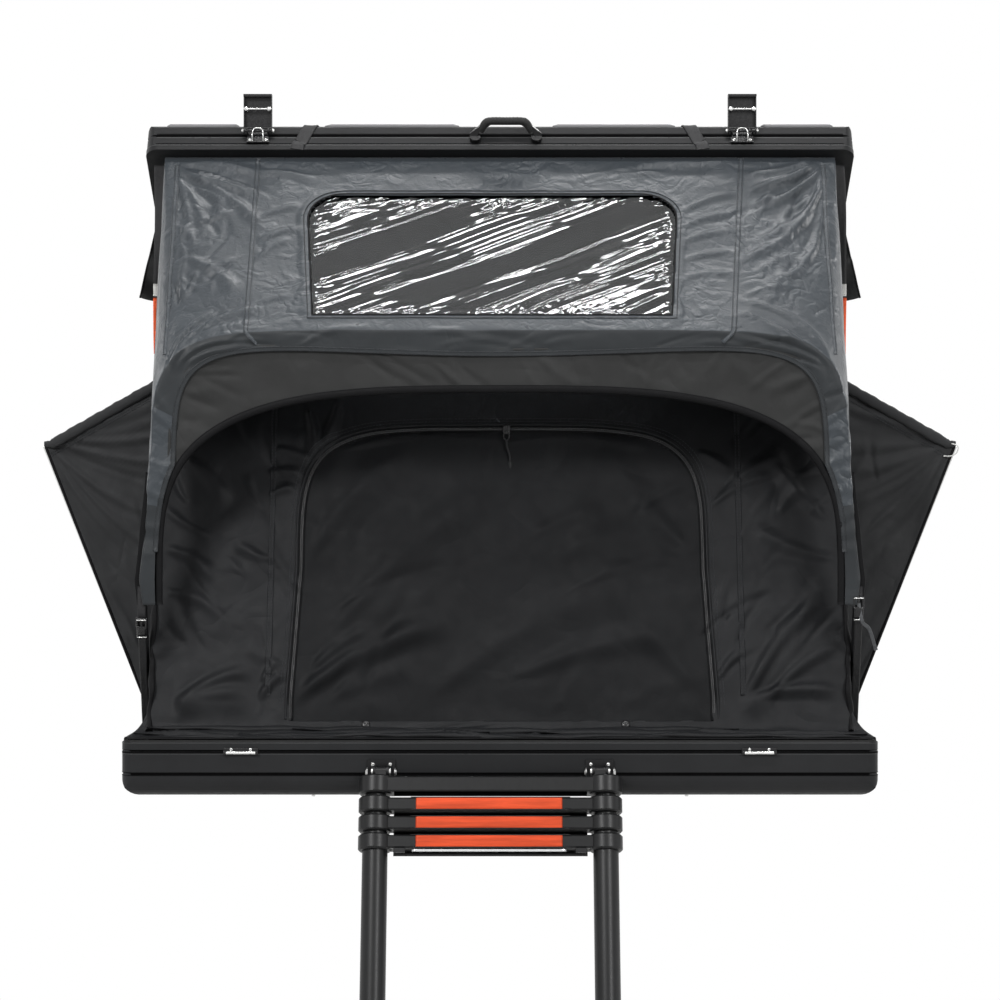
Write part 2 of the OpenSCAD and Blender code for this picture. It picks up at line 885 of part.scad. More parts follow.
// Rung section: a box with softened edges and two shallow grip grooves on its tread
rung_wall = 2.5;
tread_dip = 1.5;
cap_hollow_x = tube_x - collar_d / 2 - rung_wall;
module rung(long, high, deep) {
    e = 3;
    g = tread_dip;
    rotate([90, 0, 90])
        linear_extrude(long, center = true)
            polygon([[-deep / 2 + e, 0], [deep / 2 - e, 0], [deep / 2, e],
                     [deep / 2, high - e], [deep / 2 - e, high],
                     [8, high], [7, high - g], [5, high - g], [4, high],
                     [-4, high], [-5, high - g], [-7, high - g], [-8, high],
                     [-deep / 2 + e, high], [-deep / 2, high - e], [-deep / 2, e]]);
}

module ladder_section(k) {
    od = tube_od(k);
    high = k == 1 ? cap_h : collar_h;
    bar = k == 1 ? cap_h - 4 : rung_h;
    low = collar_low(k);
    bar_low = low + (high - bar) / 2;
    color(trim_black)
        on_ladder()
            translate([0, tube_back, 0])
                difference() {
                    union() {
                        translate([0, 0, bar_low])
                            rung(2 * tube_x, bar, k == 1 ? cap_depth : rung_depth);
                        for (side = [-1, 1])
                            translate([side * tube_x, 0, low]) {
                                collar(high);
                                translate([0, 0, -tube_l])
                                    cylinder(d = od, h = tube_l + over);
                            }
                    }
                    for (side = [-1, 1])
                        translate([side * tube_x, 0, low - tube_l - over])
                            cylinder(d = od - 2 * tube_wall,
                                     h = tube_l + over + (k == 1 ? 0 : high + over));
                    if (k == 1)
                        translate([-cap_hollow_x, -cap_depth / 2 + rung_wall, low - over])
                            cube([2 * cap_hollow_x, cap_depth - 2 * rung_wall,
                                  (high + bar) / 2 - rung_wall + over]);
                    else
                        translate([-tube_x, -rung_depth / 2 + rung_wall, bar_low + rung_wall])
                            cube([2 * tube_x, rung_depth - 2 * rung_wall, bar - 2 * rung_wall - tread_dip]);
                }
}

foot_wall = 3;
foot_h = 55;
foot_sole = 6;
module ladder_feet() {
    low = collar_low(last_section) - tube_l - foot_sole;
    od = tube_od(last_section);
    color(trim_black)
        on_ladder()
            for (side = [-1, 1])
                translate([side * tube_x, tube_back, low])
                    difference() {
                        cylinder(d = od + 2 * foot_wall, h = foot_h);
                        translate([0, 0, foot_sole])
                            cylinder(d = od + 2 * turn_gap, h = foot_h);
                    }
}

button_in = 47;
button_size = [20, 15, 9];
module ladder_button(side) {
    low = collar_low(sections_shut) + (collar_h - rung_h) / 2;
    color(trim_black)
        on_ladder()
            translate([side * (tube_x - button_in), tube_back - rung_depth / 2, low - fit_gap])
                rotate([90, 0, 90])
                    linear_extrude(button_size[0], center = true)
                        polygon([[0, 0], [button_size[1], 0], [button_size[1], -4], [4, -button_size[2]],
                                 [0, -button_size[2]]]);
}

// Awning: a hoop at the ladder end, a sloping roof from the lid to it, and a valance below it
hoop_y = -half_l + 35;
ridge_z = rim_z + ridge_h;
arch_z = rim_z + arch_h;
ridge_power = 8;
arch_power = 3.3;
leg_flare = 22;
awning_lid = lid_point(-half_l + 25, lid_z - fit_gap);
roof_front = hoop_y - hoop_d / 2 - 3;
valance_front = roof_front - cloth_t - fit_gap;
slope_l = norm([awning_lid[0] - roof_front, awning_lid[1] - ridge_z]);
slope_angle = atan2(awning_lid[1] - ridge_z, awning_lid[0] - roof_front);
roof_end = 17;
roof_cols = 40;
roof_rows = 9;
wrinkle = 3;

function ridge_at(a, grow = 0) =
    let (r = superellipse_r(a, ridge_w + grow, ridge_z - arch_z + grow, ridge_power))
        [r * cos(a), arch_z + r * sin(a)];

function roof_point(a, t) =
    let (low = ridge_at(a),
         top_x = awning_top_w * low[0] / ridge_at(roof_end)[0],
         side = step_in((abs(low[0]) - window_w / 2 - 60) / 80),
         lift = wrinkle * side * sin(180 * t) * sin(1100 * t + low[0]))
        [mix(low[0], top_x, t),
         mix(roof_front, awning_lid[0], t) - lift * sin(slope_angle),
         mix(low[1], awning_lid[1], t) + lift * cos(slope_angle)];

// Draws on the roof's slope: X across, Y up the slope from the ridge, Z outwards
module on_slope() {
    translate([window_x, roof_front, ridge_z])
        rotate([slope_angle, 0, 0])
            children();
}

window_x = -15;
window_up = 41;
window_lap = 12;
film_t = 1;
module window_outline(lap) {
    w = window_w / 2 + lap;
    high = window_up + window_l + lap;
    translate([-w, window_up - lap])
        square([2 * w, window_l + 2 * lap - window_r]);
    translate([-w + window_r, window_up - lap])
        square([2 * (w - window_r), window_l + 2 * lap]);
    for (e = [-1, 1])
        translate([e * (w - window_r), high - window_r])
            circle(window_r);
}

module awning_roof() {
    back = cloth_t * [0, sin(slope_angle), -cos(slope_angle)];
    color(cloth_grey)
        difference() {
            cloth([for (i = [0:roof_rows - 1]) [for (j = [0:roof_cols])
                roof_point(mix(180 - roof_end, roof_end, j / roof_cols), i / (roof_rows - 1))]], back);
            on_slope()
                translate([0, 0, -5 * cloth_t])
                    linear_extrude(10 * cloth_t)
                        window_outline(0);
        }
}

module awning_window() {
    color([0.8, 0.85, 0.9, 0.4])
        on_slope()
            translate([0, 0, -cloth_t - 2 * fit_gap - film_t])
                linear_extrude(film_t)
                    window_outline(window_lap);
}

valance_cols = 64;
valance_rows = 5;
valance_dip = -4;
valance_fold = 2;
valance_lap = 3;
function valance_point(a, t) =
    let (flare = leg_flare * pow(1 - abs(sin(a)), 4),
         outer = ridge_at(a, flare - valance_lap),
         r = superellipse_r(a, arch_w, arch_rise, arch_power),
         inner = [r * cos(a), arch_z + r * sin(a)],
         p = mix(outer, inner, t))
        [p[0], valance_front - valance_fold * step_in(2 * t) * (1 + sin(9 * a)), p[1]];

module awning_valance() {
    color(cloth_dark)
        cloth([for (i = [0:valance_rows - 1]) [for (j = [0:valance_cols])
            valance_point(mix(180 - valance_dip, valance_dip, j / valance_cols),
                          1 - i / (valance_rows - 1))]],
            [0, cloth_t, 0]);
}

// Tube swept along a path, with rings square to it
module tube(path, d, sides) {
    n = len(path);
    rings = [for (i = [0:n - 1])
        let (ahead = path[min(n - 1, i + 1)] - path[max(0, i - 1)],
             along = ahead / norm(ahead),
             across = cross(along, [0, 1, 0]),
             u = across / norm(across),
             v = cross(u, along))
            for (k = [0:sides - 1]) let (a = 360 * k / sides) path[i] + d / 2 * (u * cos(a) + v * sin(a))];
    ends = [for (k = [0:sides - 1]) k];
    polyhedron(rings, concat(
        [[for (k = ends) sides - 1 - k]],
        [[for (k = ends) (n - 1) * sides + k]],
        [for (i = [0:n - 2]) for (k = ends) let (a = i * sides + k, b = i * sides + (k + 1) % sides)
            [a, b, b + sides]],
        [for (i = [0:n - 2]) for (k = ends) let (a = i * sides + k, b = i * sides + (k + 1) % sides)
            [a, b + sides, a + sides]]
    ));
}

hoop_inset = 18;
hoop_corner_r = 150;
hoop_side_x = ridge_w - hoop_inset;
hoop_top_z = ridge_z - hoop_d / 2 - 6;
hoop_knee_out = 20;
hoop_knee_drop = 25;
hoop_foot_in = 25;
hoop_foot_back = 215;
hoop_bend = 9;
hoop_sides = 10;
hoop_knee = [ridge_w + hoop_knee_out, hoop_y, arch_z - hoop_knee_drop];
hoop_foot = [half_w - hoop_foot_in, -half_l + hoop_foot_back, ledge_z + fit_gap + hoop_d / 2];
hoop_foot_l = norm(hoop_knee - hoop_foot);
hoop_corner = arc(hoop_side_x - hoop_corner_r, hoop_top_z - hoop_corner_r, hoop_corner_r, 0, 90);
hoop_half = concat(
    [hoop_foot, mix(hoop_knee, hoop_foot, hoop_bend / hoop_foot_l)],
    [hoop_knee + [-hoop_bend / 9, 0, hoop_bend]],
    [for (p = hoop_corner) [p[0], hoop_y, p[1]]]
);
hoop_back = [for (i = [len(hoop_half) - 1:-1:0]) let (p = hoop_half[i]) [-p[0], p[1], p[2]]];
module awning_hoop() {
    color(trim_black)
        tube(concat(hoop_half, hoop_back), hoop_d, hoop_sides);
}

// Door wall: flat above, with a skirt of folds over the near rim
wall_low_y = -half_l + 75;
wall_low_z = rim_z + skirt_h;
wall_lid = lid_point(-half_l + rail_w, lid_z - fit_gap);
wall_top_y = wall_lid[0] - 1;
wall_top_z = wall_lid[1] - 2;
wall_angle = atan2(wall_top_z - wall_low_z, wall_top_y - wall_low_y);
wall_half_w = in_w - 0.5;
skirt_half_w = half_w - 5;
skirt_low_y = -half_l + 7;
skirt_low_z = rim_z + seal_gap + 1;
skirt_rows = 6;
wall_rows = 8;
wall_cols = 36;

function skirt_point(u, t) =
    let (fold = skirt_fold * sin(180 * t) * (1 - cos(360 * skirt_folds * u)) / 2)
        [mix(skirt_half_w, wall_half_w, step_in(t)) * (2 * u - 1),
         mix(skirt_low_y, wall_low_y, t) - fold,
         mix(skirt_low_z, wall_low_z, t) + fold / 2];

function wall_point(u, t) =
    [wall_half_w * (2 * u - 1), mix(wall_low_y, wall_top_y, t), mix(wall_low_z, wall_top_z, t)];

// Draws on the door wall: X across, Y up the wall from the skirt, Z towards the ladder end
module on_wall() {
    translate([0, wall_low_y, wall_low_z])
        rotate([wall_angle, 0, 0])
            children();
}

door_up = 6;
door_lap = 8;
door_x = 4;
module door_outline(lap) {
    w = door_w + lap;
    high = (rim_z + door_h - wall_low_z) / sin(wall_angle) + lap;
    translate([door_x, 0]) {
        translate([-w, door_up - lap])
            square([2 * w, high - door_r - door_up + lap]);
        translate([-w + door_r, door_up - lap])
            square([2 * (w - door_r), high - door_up + lap]);
        for (e = [-1, 1])
            translate([e * (w - door_r), high - door_r])
                circle(door_r);
    }
}

module door_wall() {
    color(cloth_dark)
        difference() {
            cloth(concat(
                [for (i = [0:skirt_rows - 1]) [for (j = [0:wall_cols])
                    skirt_point(j / wall_cols, i / skirt_rows)]],
                [for (i = [0:wall_rows]) [for (j = [0:wall_cols])
                    wall_point(j / wall_cols, i / wall_rows)]]),
                [0, cloth_t, 0]);
            on_wall()
                translate([0, 0, -5 * cloth_t])
                    linear_extrude(10 * cloth_t)
                        door_outline(0);
        }
}

module door_panel() {
    color(cloth_dark)
        on_wall()
            translate([0, 0, -2 * cloth_t - fit_gap])
                linear_extrude(cloth_t)
                    door_outline(door_lap);
}

// Side walls, from the base ledge to the lid's side rails
module side_wall(side) {
    front = lid_point(-half_l + rail_w + 3, lid_z - 1);
    rear = lid_point(in_l - 12, lid_z - 1);
    low = ledge_z + fit_gap;
    outer = in_w + cloth_t;
    color(cloth_dark)
        translate([side > 0 ? outer - cloth_t : -outer, 0, 0])
            rotate([90, 0, 90])
                linear_extrude(cloth_t)
                    polygon([[wall_low_y + 4, low], [wall_low_y + 4, wall_low_z], front, rear,
                             [rear[0], low]]);
}

// Wing hoods: a cheek towards the ladder end and a top that runs back down to the side wall
hood_steps = 8;
hood_front = wing_y - wing_rod_d / 2 - fit_gap;
hood_wall_x = in_w + cloth_t + 2 * fit_gap;
hood_top = [hood_wall_x, hood_front, rim_z + wing_top_h];
hood_tip = [wing_tip_x, hood_front, wing_tip_z + wing_rod_d / 2 + 3];
hood_low = [hood_wall_x, hood_front, rim_z + wing_low_h];
hood_low_out = [mix(wing_pivot_x, wing_tip_x, (hood_low[2] - wing_pivot_z) / (wing_tip_z - wing_pivot_z)),
                hood_front, hood_low[2]];
hood_back = [hood_wall_x, wing_y + wing_l, rim_z + wing_top_h - 0.66 * wing_l];
hood_back_out = hood_back + [14, -6, 2];
hood_crease = 5;

function hood_point(s, u) =
    let (on_cheek = s < 1,
         t = on_cheek ? s : s - 1,
         wall = on_cheek ? mix(hood_low, hood_top, t) : mix(hood_top, hood_back, t),
         tip = on_cheek ? mix(hood_low_out, hood_tip, t) : mix(hood_tip, hood_back_out, t),
         crease = hood_crease * sin(180 * t) * sin(180 * u) * (1 + sin(540 * t)) / 2)
        mix(wall, tip, u) + crease * (on_cheek ? [0, -1, 0] : [0.3, 0, 0.9]);

module wing_hood(side) {
    color(wing_grey)
        mirror([side > 0 ? 0 : 1, 0, 0])
            cloth([for (i = [0:2 * hood_steps]) [for (j = [0:hood_steps])
                hood_point(2 * i / (2 * hood_steps), j / hood_steps)]],
                cloth_t * [0, -0.7, 0.7]);
}

// Orange webbing from the lid's near corners to the wing tops
strap_w = 30;
strap_t = 1.5;
module tension_straps() {
    top = wall_top_z - 1;
    low = hood_top[2] + cloth_t + 1;
    color(orange)
        for (side = [-1, 1])
            translate([side > 0 ? hood_wall_x : -hood_wall_x - strap_w, wall_top_y, low])
                cube([strap_w, strap_t, top - low]);
}

base_floor();
base_rail(180, half_l, shell_w);  // base_rail_near
base_rail(0, half_l, shell_w);  // base_rail_far
base_rail(90, half_w, shell_l);  // base_rail_left
base_rail(270, half_w, shell_l);  // base_rail_right
base_seal();
channel(-1);  // channel_left
channel(1);  // channel_right
mount_bolts();
mattress();
latch_keepers();
ladder_bracket(-1);  // ladder_bracket_left
ladder_bracket(1);  // ladder_bracket_right
ladder_pins();
wing_sockets();
strut_base_brackets();
hinge_base_leaf();
hinge_pin();
lid_skin();
lid_rail(180, half_l, shell_w);  // lid_rail_near
lid_rail(0, half_l, shell_w);  // lid_rail_far
lid_rail(90, half_w, shell_l);  // lid_rail_left
lid_rail(270, half_w, shell_l);  // lid_rail_right
lid_liner();
hinge_lid_leaf();
latch_brackets();
grab_handle();
strut_lid_brackets();
lid_side_flaps();
latch_lever(-1);  // latch_lever_left
latch_lever(1);  // latch_lever_right
strut_barrel(-1);  // strut_barrel_left
strut_barrel(1);  // strut_barrel_right
strut_rod(-1);  // strut_rod_left
strut_rod(1);  // strut_rod_right
ladder_hanger();
ladder_section(1);  // ladder_section_1
ladder_section(2);  // ladder_section_2
ladder_section(3);  // ladder_section_3
ladder_section(4);  // ladder_section_4
ladder_section(5);  // ladder_section_5
ladder_section(6);  // ladder_section_6
ladder_section(7);  // ladder_section_7
ladder_feet();
ladder_button(-1);  // ladder_button_left
ladder_button(1);  // ladder_button_right
awning_roof();
awning_window();
awning_valance();
awning_hoop();
door_wall();
door_panel();
side_wall(-1);  // side_wall_left
side_wall(1);  // side_wall_right
tension_straps();
wing_rod(-1);  // wing_rod_left
wing_rod(1);  // wing_rod_right
wing_hood(-1);  // wing_hood_left
wing_hood(1);  // wing_hood_right
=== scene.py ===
import json
import math
import bpy
import numpy as np
from mathutils import Matrix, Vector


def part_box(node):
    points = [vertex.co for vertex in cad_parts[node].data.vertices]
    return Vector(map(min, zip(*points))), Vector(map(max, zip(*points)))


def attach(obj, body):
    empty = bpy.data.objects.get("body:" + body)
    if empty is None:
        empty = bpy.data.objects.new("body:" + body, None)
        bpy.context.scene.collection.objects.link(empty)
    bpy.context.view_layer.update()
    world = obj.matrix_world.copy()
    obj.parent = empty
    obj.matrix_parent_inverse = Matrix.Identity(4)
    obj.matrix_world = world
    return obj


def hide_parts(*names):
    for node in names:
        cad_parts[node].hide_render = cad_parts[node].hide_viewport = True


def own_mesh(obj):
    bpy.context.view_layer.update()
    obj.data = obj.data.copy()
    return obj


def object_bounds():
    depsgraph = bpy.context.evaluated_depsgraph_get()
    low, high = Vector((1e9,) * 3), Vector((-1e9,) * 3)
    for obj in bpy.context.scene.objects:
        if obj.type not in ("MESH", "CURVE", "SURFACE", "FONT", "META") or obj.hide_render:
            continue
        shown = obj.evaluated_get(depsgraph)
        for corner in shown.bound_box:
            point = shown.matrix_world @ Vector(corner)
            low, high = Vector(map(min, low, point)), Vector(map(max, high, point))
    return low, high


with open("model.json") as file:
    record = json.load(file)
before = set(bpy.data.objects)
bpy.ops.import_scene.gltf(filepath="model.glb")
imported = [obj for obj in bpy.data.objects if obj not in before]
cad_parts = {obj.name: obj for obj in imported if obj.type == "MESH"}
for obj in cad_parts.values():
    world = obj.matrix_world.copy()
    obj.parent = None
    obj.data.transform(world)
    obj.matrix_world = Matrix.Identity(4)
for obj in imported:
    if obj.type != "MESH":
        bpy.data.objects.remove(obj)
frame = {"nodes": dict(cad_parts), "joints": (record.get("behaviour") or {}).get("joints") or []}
cad_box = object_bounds()
nodes = frame["nodes"]
joints = {j["name"]: j for j in frame["joints"]}

# Places from the frame, in metres
HALF_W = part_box("base_rail_right")[1][0]
HALF_L = -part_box("base_rail_near")[0][1]
RIM_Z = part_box("base_rail_near")[1][2]
BASE_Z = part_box("base_rail_near")[0][2]
LID_PIVOT = np.array(joints["lid_hinge"]["pos_m"])
OPEN = math.radians(33)
LADDER_PIVOT = np.array(joints["ladder_swing"]["pos_m"])
LEAN = math.radians(20)
LID_Z = RIM_Z + 0.003
LID_TOP = LID_Z + 0.070
# Corner radius of both shells in plan, the latches' place, and a rung's middle from the pins
CORNER_R = 0.025
LATCH_X = HALF_W - 0.230
RUNG_Y = -0.006
IN_W, IN_L = HALF_W - 0.045, HALF_L - 0.045
# Corners of a rounded outline in turn: signs of x and y, and the angle at which each one's arc starts
CORNERS = (1, -1, -90), (1, 1, 0), (-1, 1, 90), (-1, -1, 180)
# Thickness of the canvas
CANVAS, HEAVY_CANVAS = 0.0014, 0.0016
# Where cloth would fold as the lid shuts: flat along Z, into the gap over the rim. Pieces carry it as close, but
# nothing here folds them.
FOLD = ((0, 0, 1), (0, 0, RIM_Z + 0.0003), 0.0021)


# Small helpers for points

def vec(*xs):
    return np.array(xs, float)


def unit(v):
    return v / np.maximum(np.linalg.norm(v, axis=-1, keepdims=True), 1e-12)


def mix(a, b, t):
    return a + (b - a) * t


def smooth(t):
    t = np.clip(t, 0, 1)
    return t * t * (3 - 2 * t)


def turn_x(points, pivot, angle):
    p = np.asarray(points, float) - pivot
    c, s = math.cos(angle), math.sin(angle)
    return np.stack([p[..., 0], c * p[..., 1] - s * p[..., 2], s * p[..., 1] + c * p[..., 2]], -1) + pivot


def on_lid(points):
    """Points of the closed lid, moved to where the lid is open."""
    return turn_x(points, LID_PIVOT, -OPEN)


def on_ladder(points):
    """Points of a ladder that hangs straight down from its pins, leaned as it stands."""
    return turn_x(np.asarray(points, float) + LADDER_PIVOT, LADDER_PIVOT, -LEAN)


def resample(path, count):
    path = np.asarray(path, float)
    run = np.concatenate([[0], np.cumsum(np.linalg.norm(np.diff(path, axis=0), axis=1))])
    at = np.linspace(0, run[-1], count)
    return np.stack([np.interp(at, run, path[:, k]) for k in range(path.shape[1])], -1)


def spline(points, count):
    """A smooth curve through a few points."""
    p = np.asarray(points, float)
    p = np.concatenate([[2 * p[0] - p[1]], p, [2 * p[-1] - p[-2]]])
    out = []
    for i in range(1, len(p) - 2):
        t = np.linspace(0, 1, 24, endpoint=False)[:, None]
        a, b, c, d = p[i - 1:i + 3]
        out.append(0.5 * (2 * b + (c - a) * t + (2 * a - 5 * b + 4 * c - d) * t**2 + (3 * b - a - 3 * c + d) * t**3))
    return resample(np.concatenate(out + [p[-2:-1]]), count)


def ripple(u, v, seed, size, count=7):
    """Gentle waves in all directions, about 1 high, with a wavelength near size."""
    r = np.random.default_rng(seed)
    total = np.zeros(np.broadcast(u, v).shape)
    for _ in range(count):
        a, k, ph = r.uniform(0, 2 * math.pi), 2 * math.pi / size * r.uniform(0.6, 1.5), r.uniform(0, 7)
        total = total + np.sin(k * (u * math.cos(a) + v * math.sin(a)) + ph)
    return total / math.sqrt(count)


def creases(u, v, lines):
    """Height of sharp folds: each line is (u0, v0, u1, v1, half width, height)."""
    total = np.zeros(np.broadcast(u, v).shape)
    for u0, v0, u1, v1, w, h in lines:
        du, dv = u1 - u0, v1 - v0
        long = math.hypot(du, dv)
        s = ((u - u0) * du + (v - v0) * dv) / long**2
        bow = 0.06 * long * np.sin(math.pi * np.clip(s, 0, 1))
        d = (((u - u0) * dv - (v - v0) * du) / long + bow) / (w * (0.6 + 0.8 * np.clip(s, 0, 1)))
        fade = smooth(s / 0.25 + 0.4) * smooth((1 - s) / 0.35 + 0.3)
        total = total + h * fade * (1 - 0.7 * d * d) * np.exp(-d * d)
    return total


def fan(at, angles, near, far, count, w, h, seed):
    """Folds that radiate from one point, as cloth does from a pulled corner."""
    r = np.random.default_rng(seed)
    lines = []
    for a in np.radians(np.linspace(*angles, count)) + r.normal(0, 0.03, count):
        n, f = near * r.uniform(0.7, 1.4), far * r.uniform(0.6, 1.1)
        c, s = math.cos(a), math.sin(a)
        lines.append((at[0] + n * c, at[1] + n * s, at[0] + f * c, at[1] + f * s,
                      w * r.uniform(0.7, 1.4), h * r.uniform(0.5, 1.2) * r.choice([-0.7, 1])))
    return lines


def crumple(low, high, count, long, w, h, seed, angle=0.0, spread=3.1):
    """Short folds scattered over a box of the cloth."""
    r = np.random.default_rng(seed)
    lines = []
    for _ in range(count):
        x, y, a = r.uniform(low[0], high[0]), r.uniform(low[1], high[1]), angle + r.uniform(-spread, spread)
        n = long * r.uniform(0.5, 1.3) / 2
        lines.append((x - n * math.cos(a), y - n * math.sin(a), x + n * math.cos(a), y + n * math.sin(a),
                      w * r.uniform(0.6, 1.4), h * r.uniform(0.4, 1.1) * r.choice([-1, 1])))
    return lines


def soften(grid, first, last, times):
    """Rows of a grid averaged with their neighbours, where cloth turns over an edge."""
    for _ in range(times):
        grid[first:last] = (grid[first - 1:last - 1] + 2 * grid[first:last] + grid[first + 1:last + 1]) / 4


# Meshes: each maker returns points and faces, and piece() joins them into one object

def quads(rows, cols, ring=False):
    i, j = np.meshgrid(np.arange(rows - 1), np.arange(cols if ring else cols - 1), indexing="ij")
    k = (j + 1) % cols
    return np.stack([i * cols + j, i * cols + k, (i + 1) * cols + k, (i + 1) * cols + j], -1).reshape(-1, 4)


def point_normals(points, faces):
    a, b, c, d = (points[faces[:, k]] for k in range(4))
    n, out = np.cross(c - a, d - b), np.zeros_like(points)
    for k in range(4):
        np.add.at(out, faces[:, k], n)
    return unit(out)


def cloth(grid, thick, cut=None):
    """A closed sheet over a grid of points. cut tells which grid cells are left out."""
    rows, cols = grid.shape[:2]
    p, f = grid.reshape(-1, 3), quads(rows, cols)
    if cut is not None:
        f = f[~cut.reshape(-1)]
    used = np.unique(f)
    index = np.full(len(p), -1)
    index[used] = np.arange(len(used))
    p, f = p[used], index[f]
    n = point_normals(p, f)
    edges = np.concatenate([f[:, [k, (k + 1) % 4]] for k in range(4)])
    key = np.sort(edges, 1)
    _, first, uses = np.unique(key, axis=0, return_index=True, return_counts=True)
    rim = edges[first[uses == 1]]
    m = len(p)
    sides = np.stack([rim[:, 1], rim[:, 0], rim[:, 0] + m, rim[:, 1] + m], -1)
    return np.concatenate([p + n * thick / 2, p - n * thick / 2]), np.concatenate([f, f[:, ::-1] + m, sides]).tolist()


def sweep(path, profile, up=(0, 0, 1), ring=False, scale=None):
    """A profile drawn along a path. Its first axis runs sideways and its second along up."""
    path, profile = np.asarray(path, float), np.asarray(profile, float)
    n, m = len(path), len(profile)
    if ring:
        ahead = unit(np.roll(path, -1, 0) - np.roll(path, 1, 0))
    else:
        ahead = unit(np.gradient(path, axis=0))
    side = unit(np.cross(ahead, np.broadcast_to(np.asarray(up, float), path.shape)))
    top = np.cross(side, ahead)
    size = np.ones(n) if scale is None else np.asarray(scale, float)
    across = side[:, None] * profile[None, :, :1] + top[:, None] * profile[None, :, 1:]
    p = path[:, None] + size[:, None, None] * across
    if ring:
        p = np.concatenate([p, p[:1]])
    f = quads(len(p), m, True).tolist()
    if not ring:
        f += [list(range(m)), list(range((n - 1) * m, n * m))[::-1]]
    return p.reshape(-1, 3), f


def circle(r, sides=12, flat=1.0):
    a = np.arange(sides) * 2 * math.pi / sides
    return np.stack([r * np.cos(a), flat * r * np.sin(a)], -1)


def strap_profile(w, t):
    """Webbing: flat, with thick rolled edges."""
    h = t / 2
    return [(-w / 2, 0), (-w / 2 + h, h * 1.15), (-w * 0.3, h), (0, h * 0.9), (w * 0.3, h), (w / 2 - h, h * 1.15),
            (w / 2, 0), (w / 2 - h, -h * 1.15), (w * 0.3, -h), (0, -h * 0.9), (-w * 0.3, -h), (-w / 2 + h, -h * 1.15)]


def lathe(at, axis, profile, sides=28):
    """A turned form: the profile gives radius and distance along the axis."""
    axis = unit(vec(*axis))
    u = unit(np.cross(axis, [0.3, 0.5, 0.81]))
    v = np.cross(axis, u)
    a = np.arange(sides) * 2 * math.pi / sides
    ring = np.cos(a)[:, None] * u + np.sin(a)[:, None] * v
    p = np.concatenate([vec(*at) + r * ring + h * axis for r, h in profile])
    f = quads(len(profile), sides, True).tolist()
    return p, f + [list(range(sides)), list(range((len(profile) - 1) * sides, len(profile) * sides))[::-1]]


def screw(at, axis, r):
    """A pan head with a round recess."""
    return lathe(at, axis, [(r, -0.0008), (r, r * 0.25), (r * 0.88, r * 0.5), (r * 0.6, r * 0.66),
                            (r * 0.42, r * 0.68), (r * 0.36, r * 0.3), (0.0002, r * 0.26)])


def block(at, size, soft, axes=None):
    """A box with rounded edges, as moulded parts have. size is given as half lengths."""
    n = 7
    t = np.linspace(-1, 1, n)
    faces, points = [], []
    size = vec(*size)
    for axis in range(3):
        for e in (-1, 1):
            a, b = np.meshgrid(t, t, indexing="ij")
            c = np.zeros((n, n, 3))
            c[..., axis], c[..., (axis + 1) % 3], c[..., (axis + 2) % 3] = e, a, b * e
            p = (np.sign(c) * np.abs(c) ** 0.4) * size
            core = np.clip(p, -size + soft, size - soft)
            p = core + unit(p - core + 1e-9 * c) * np.minimum(np.linalg.norm(p - core, axis=-1, keepdims=True), soft)
            faces += (quads(n, n) + len(points) * n * n).tolist()
            points.append(p.reshape(-1, 3))
    p = np.concatenate(points)
    if axes is not None:
        p = p @ np.asarray(axes, float)
    return p + vec(*at), faces


def piece(name, parts, mat, body, node=None, flat_shade=False, close=None):
    """Joins parts into one object that rides on a body. close gives the object a mesh of its own; nothing here folds
    it as the lid shuts.
    """
    parts = [parts] if isinstance(parts, tuple) else parts
    points, faces, start = [], [], 0
    for p, f in parts:
        points.append(np.asarray(p, float))
        faces += [[i + start for i in face] for face in f]
        start += len(p)
    mesh = bpy.data.meshes.new(name)
    mesh.from_pydata(np.concatenate(points).tolist(), [], faces)
    mesh.materials.append(mat)
    mesh.validate()
    mesh.polygons.foreach_set("use_smooth", [not flat_shade] * len(mesh.polygons))
    obj = bpy.data.objects.new(name, mesh)
    bpy.context.scene.collection.objects.link(obj)
    finish_piece(obj, body, node, close)
    return obj


def bake(obj):
    """Applies the modifiers of a piece."""
    graph = bpy.context.evaluated_depsgraph_get()
    mesh = bpy.data.meshes.new_from_object(obj.evaluated_get(graph))
    obj.modifiers.clear()
    obj.data = mesh


def finish_piece(obj, body, node, close):
    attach(obj, body)
    if node:
        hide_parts(node)
    if close:
        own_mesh(obj)


def sewn(name, parts, mat, node=None):
    """A piece of the base's cloth work, with a mesh of its own. Nothing here folds it flat into the gap over the rim
    as the lid shuts.
    """
    return piece(name, parts, mat, "base", node, close=FOLD)


def placed(place, parts):
    """Parts made in a straight place, moved to where they stand."""
    return [(place(p), f) for p, f in parts]


# Materials: colour, roughness and relief all come from nodes in the object's own coordinates

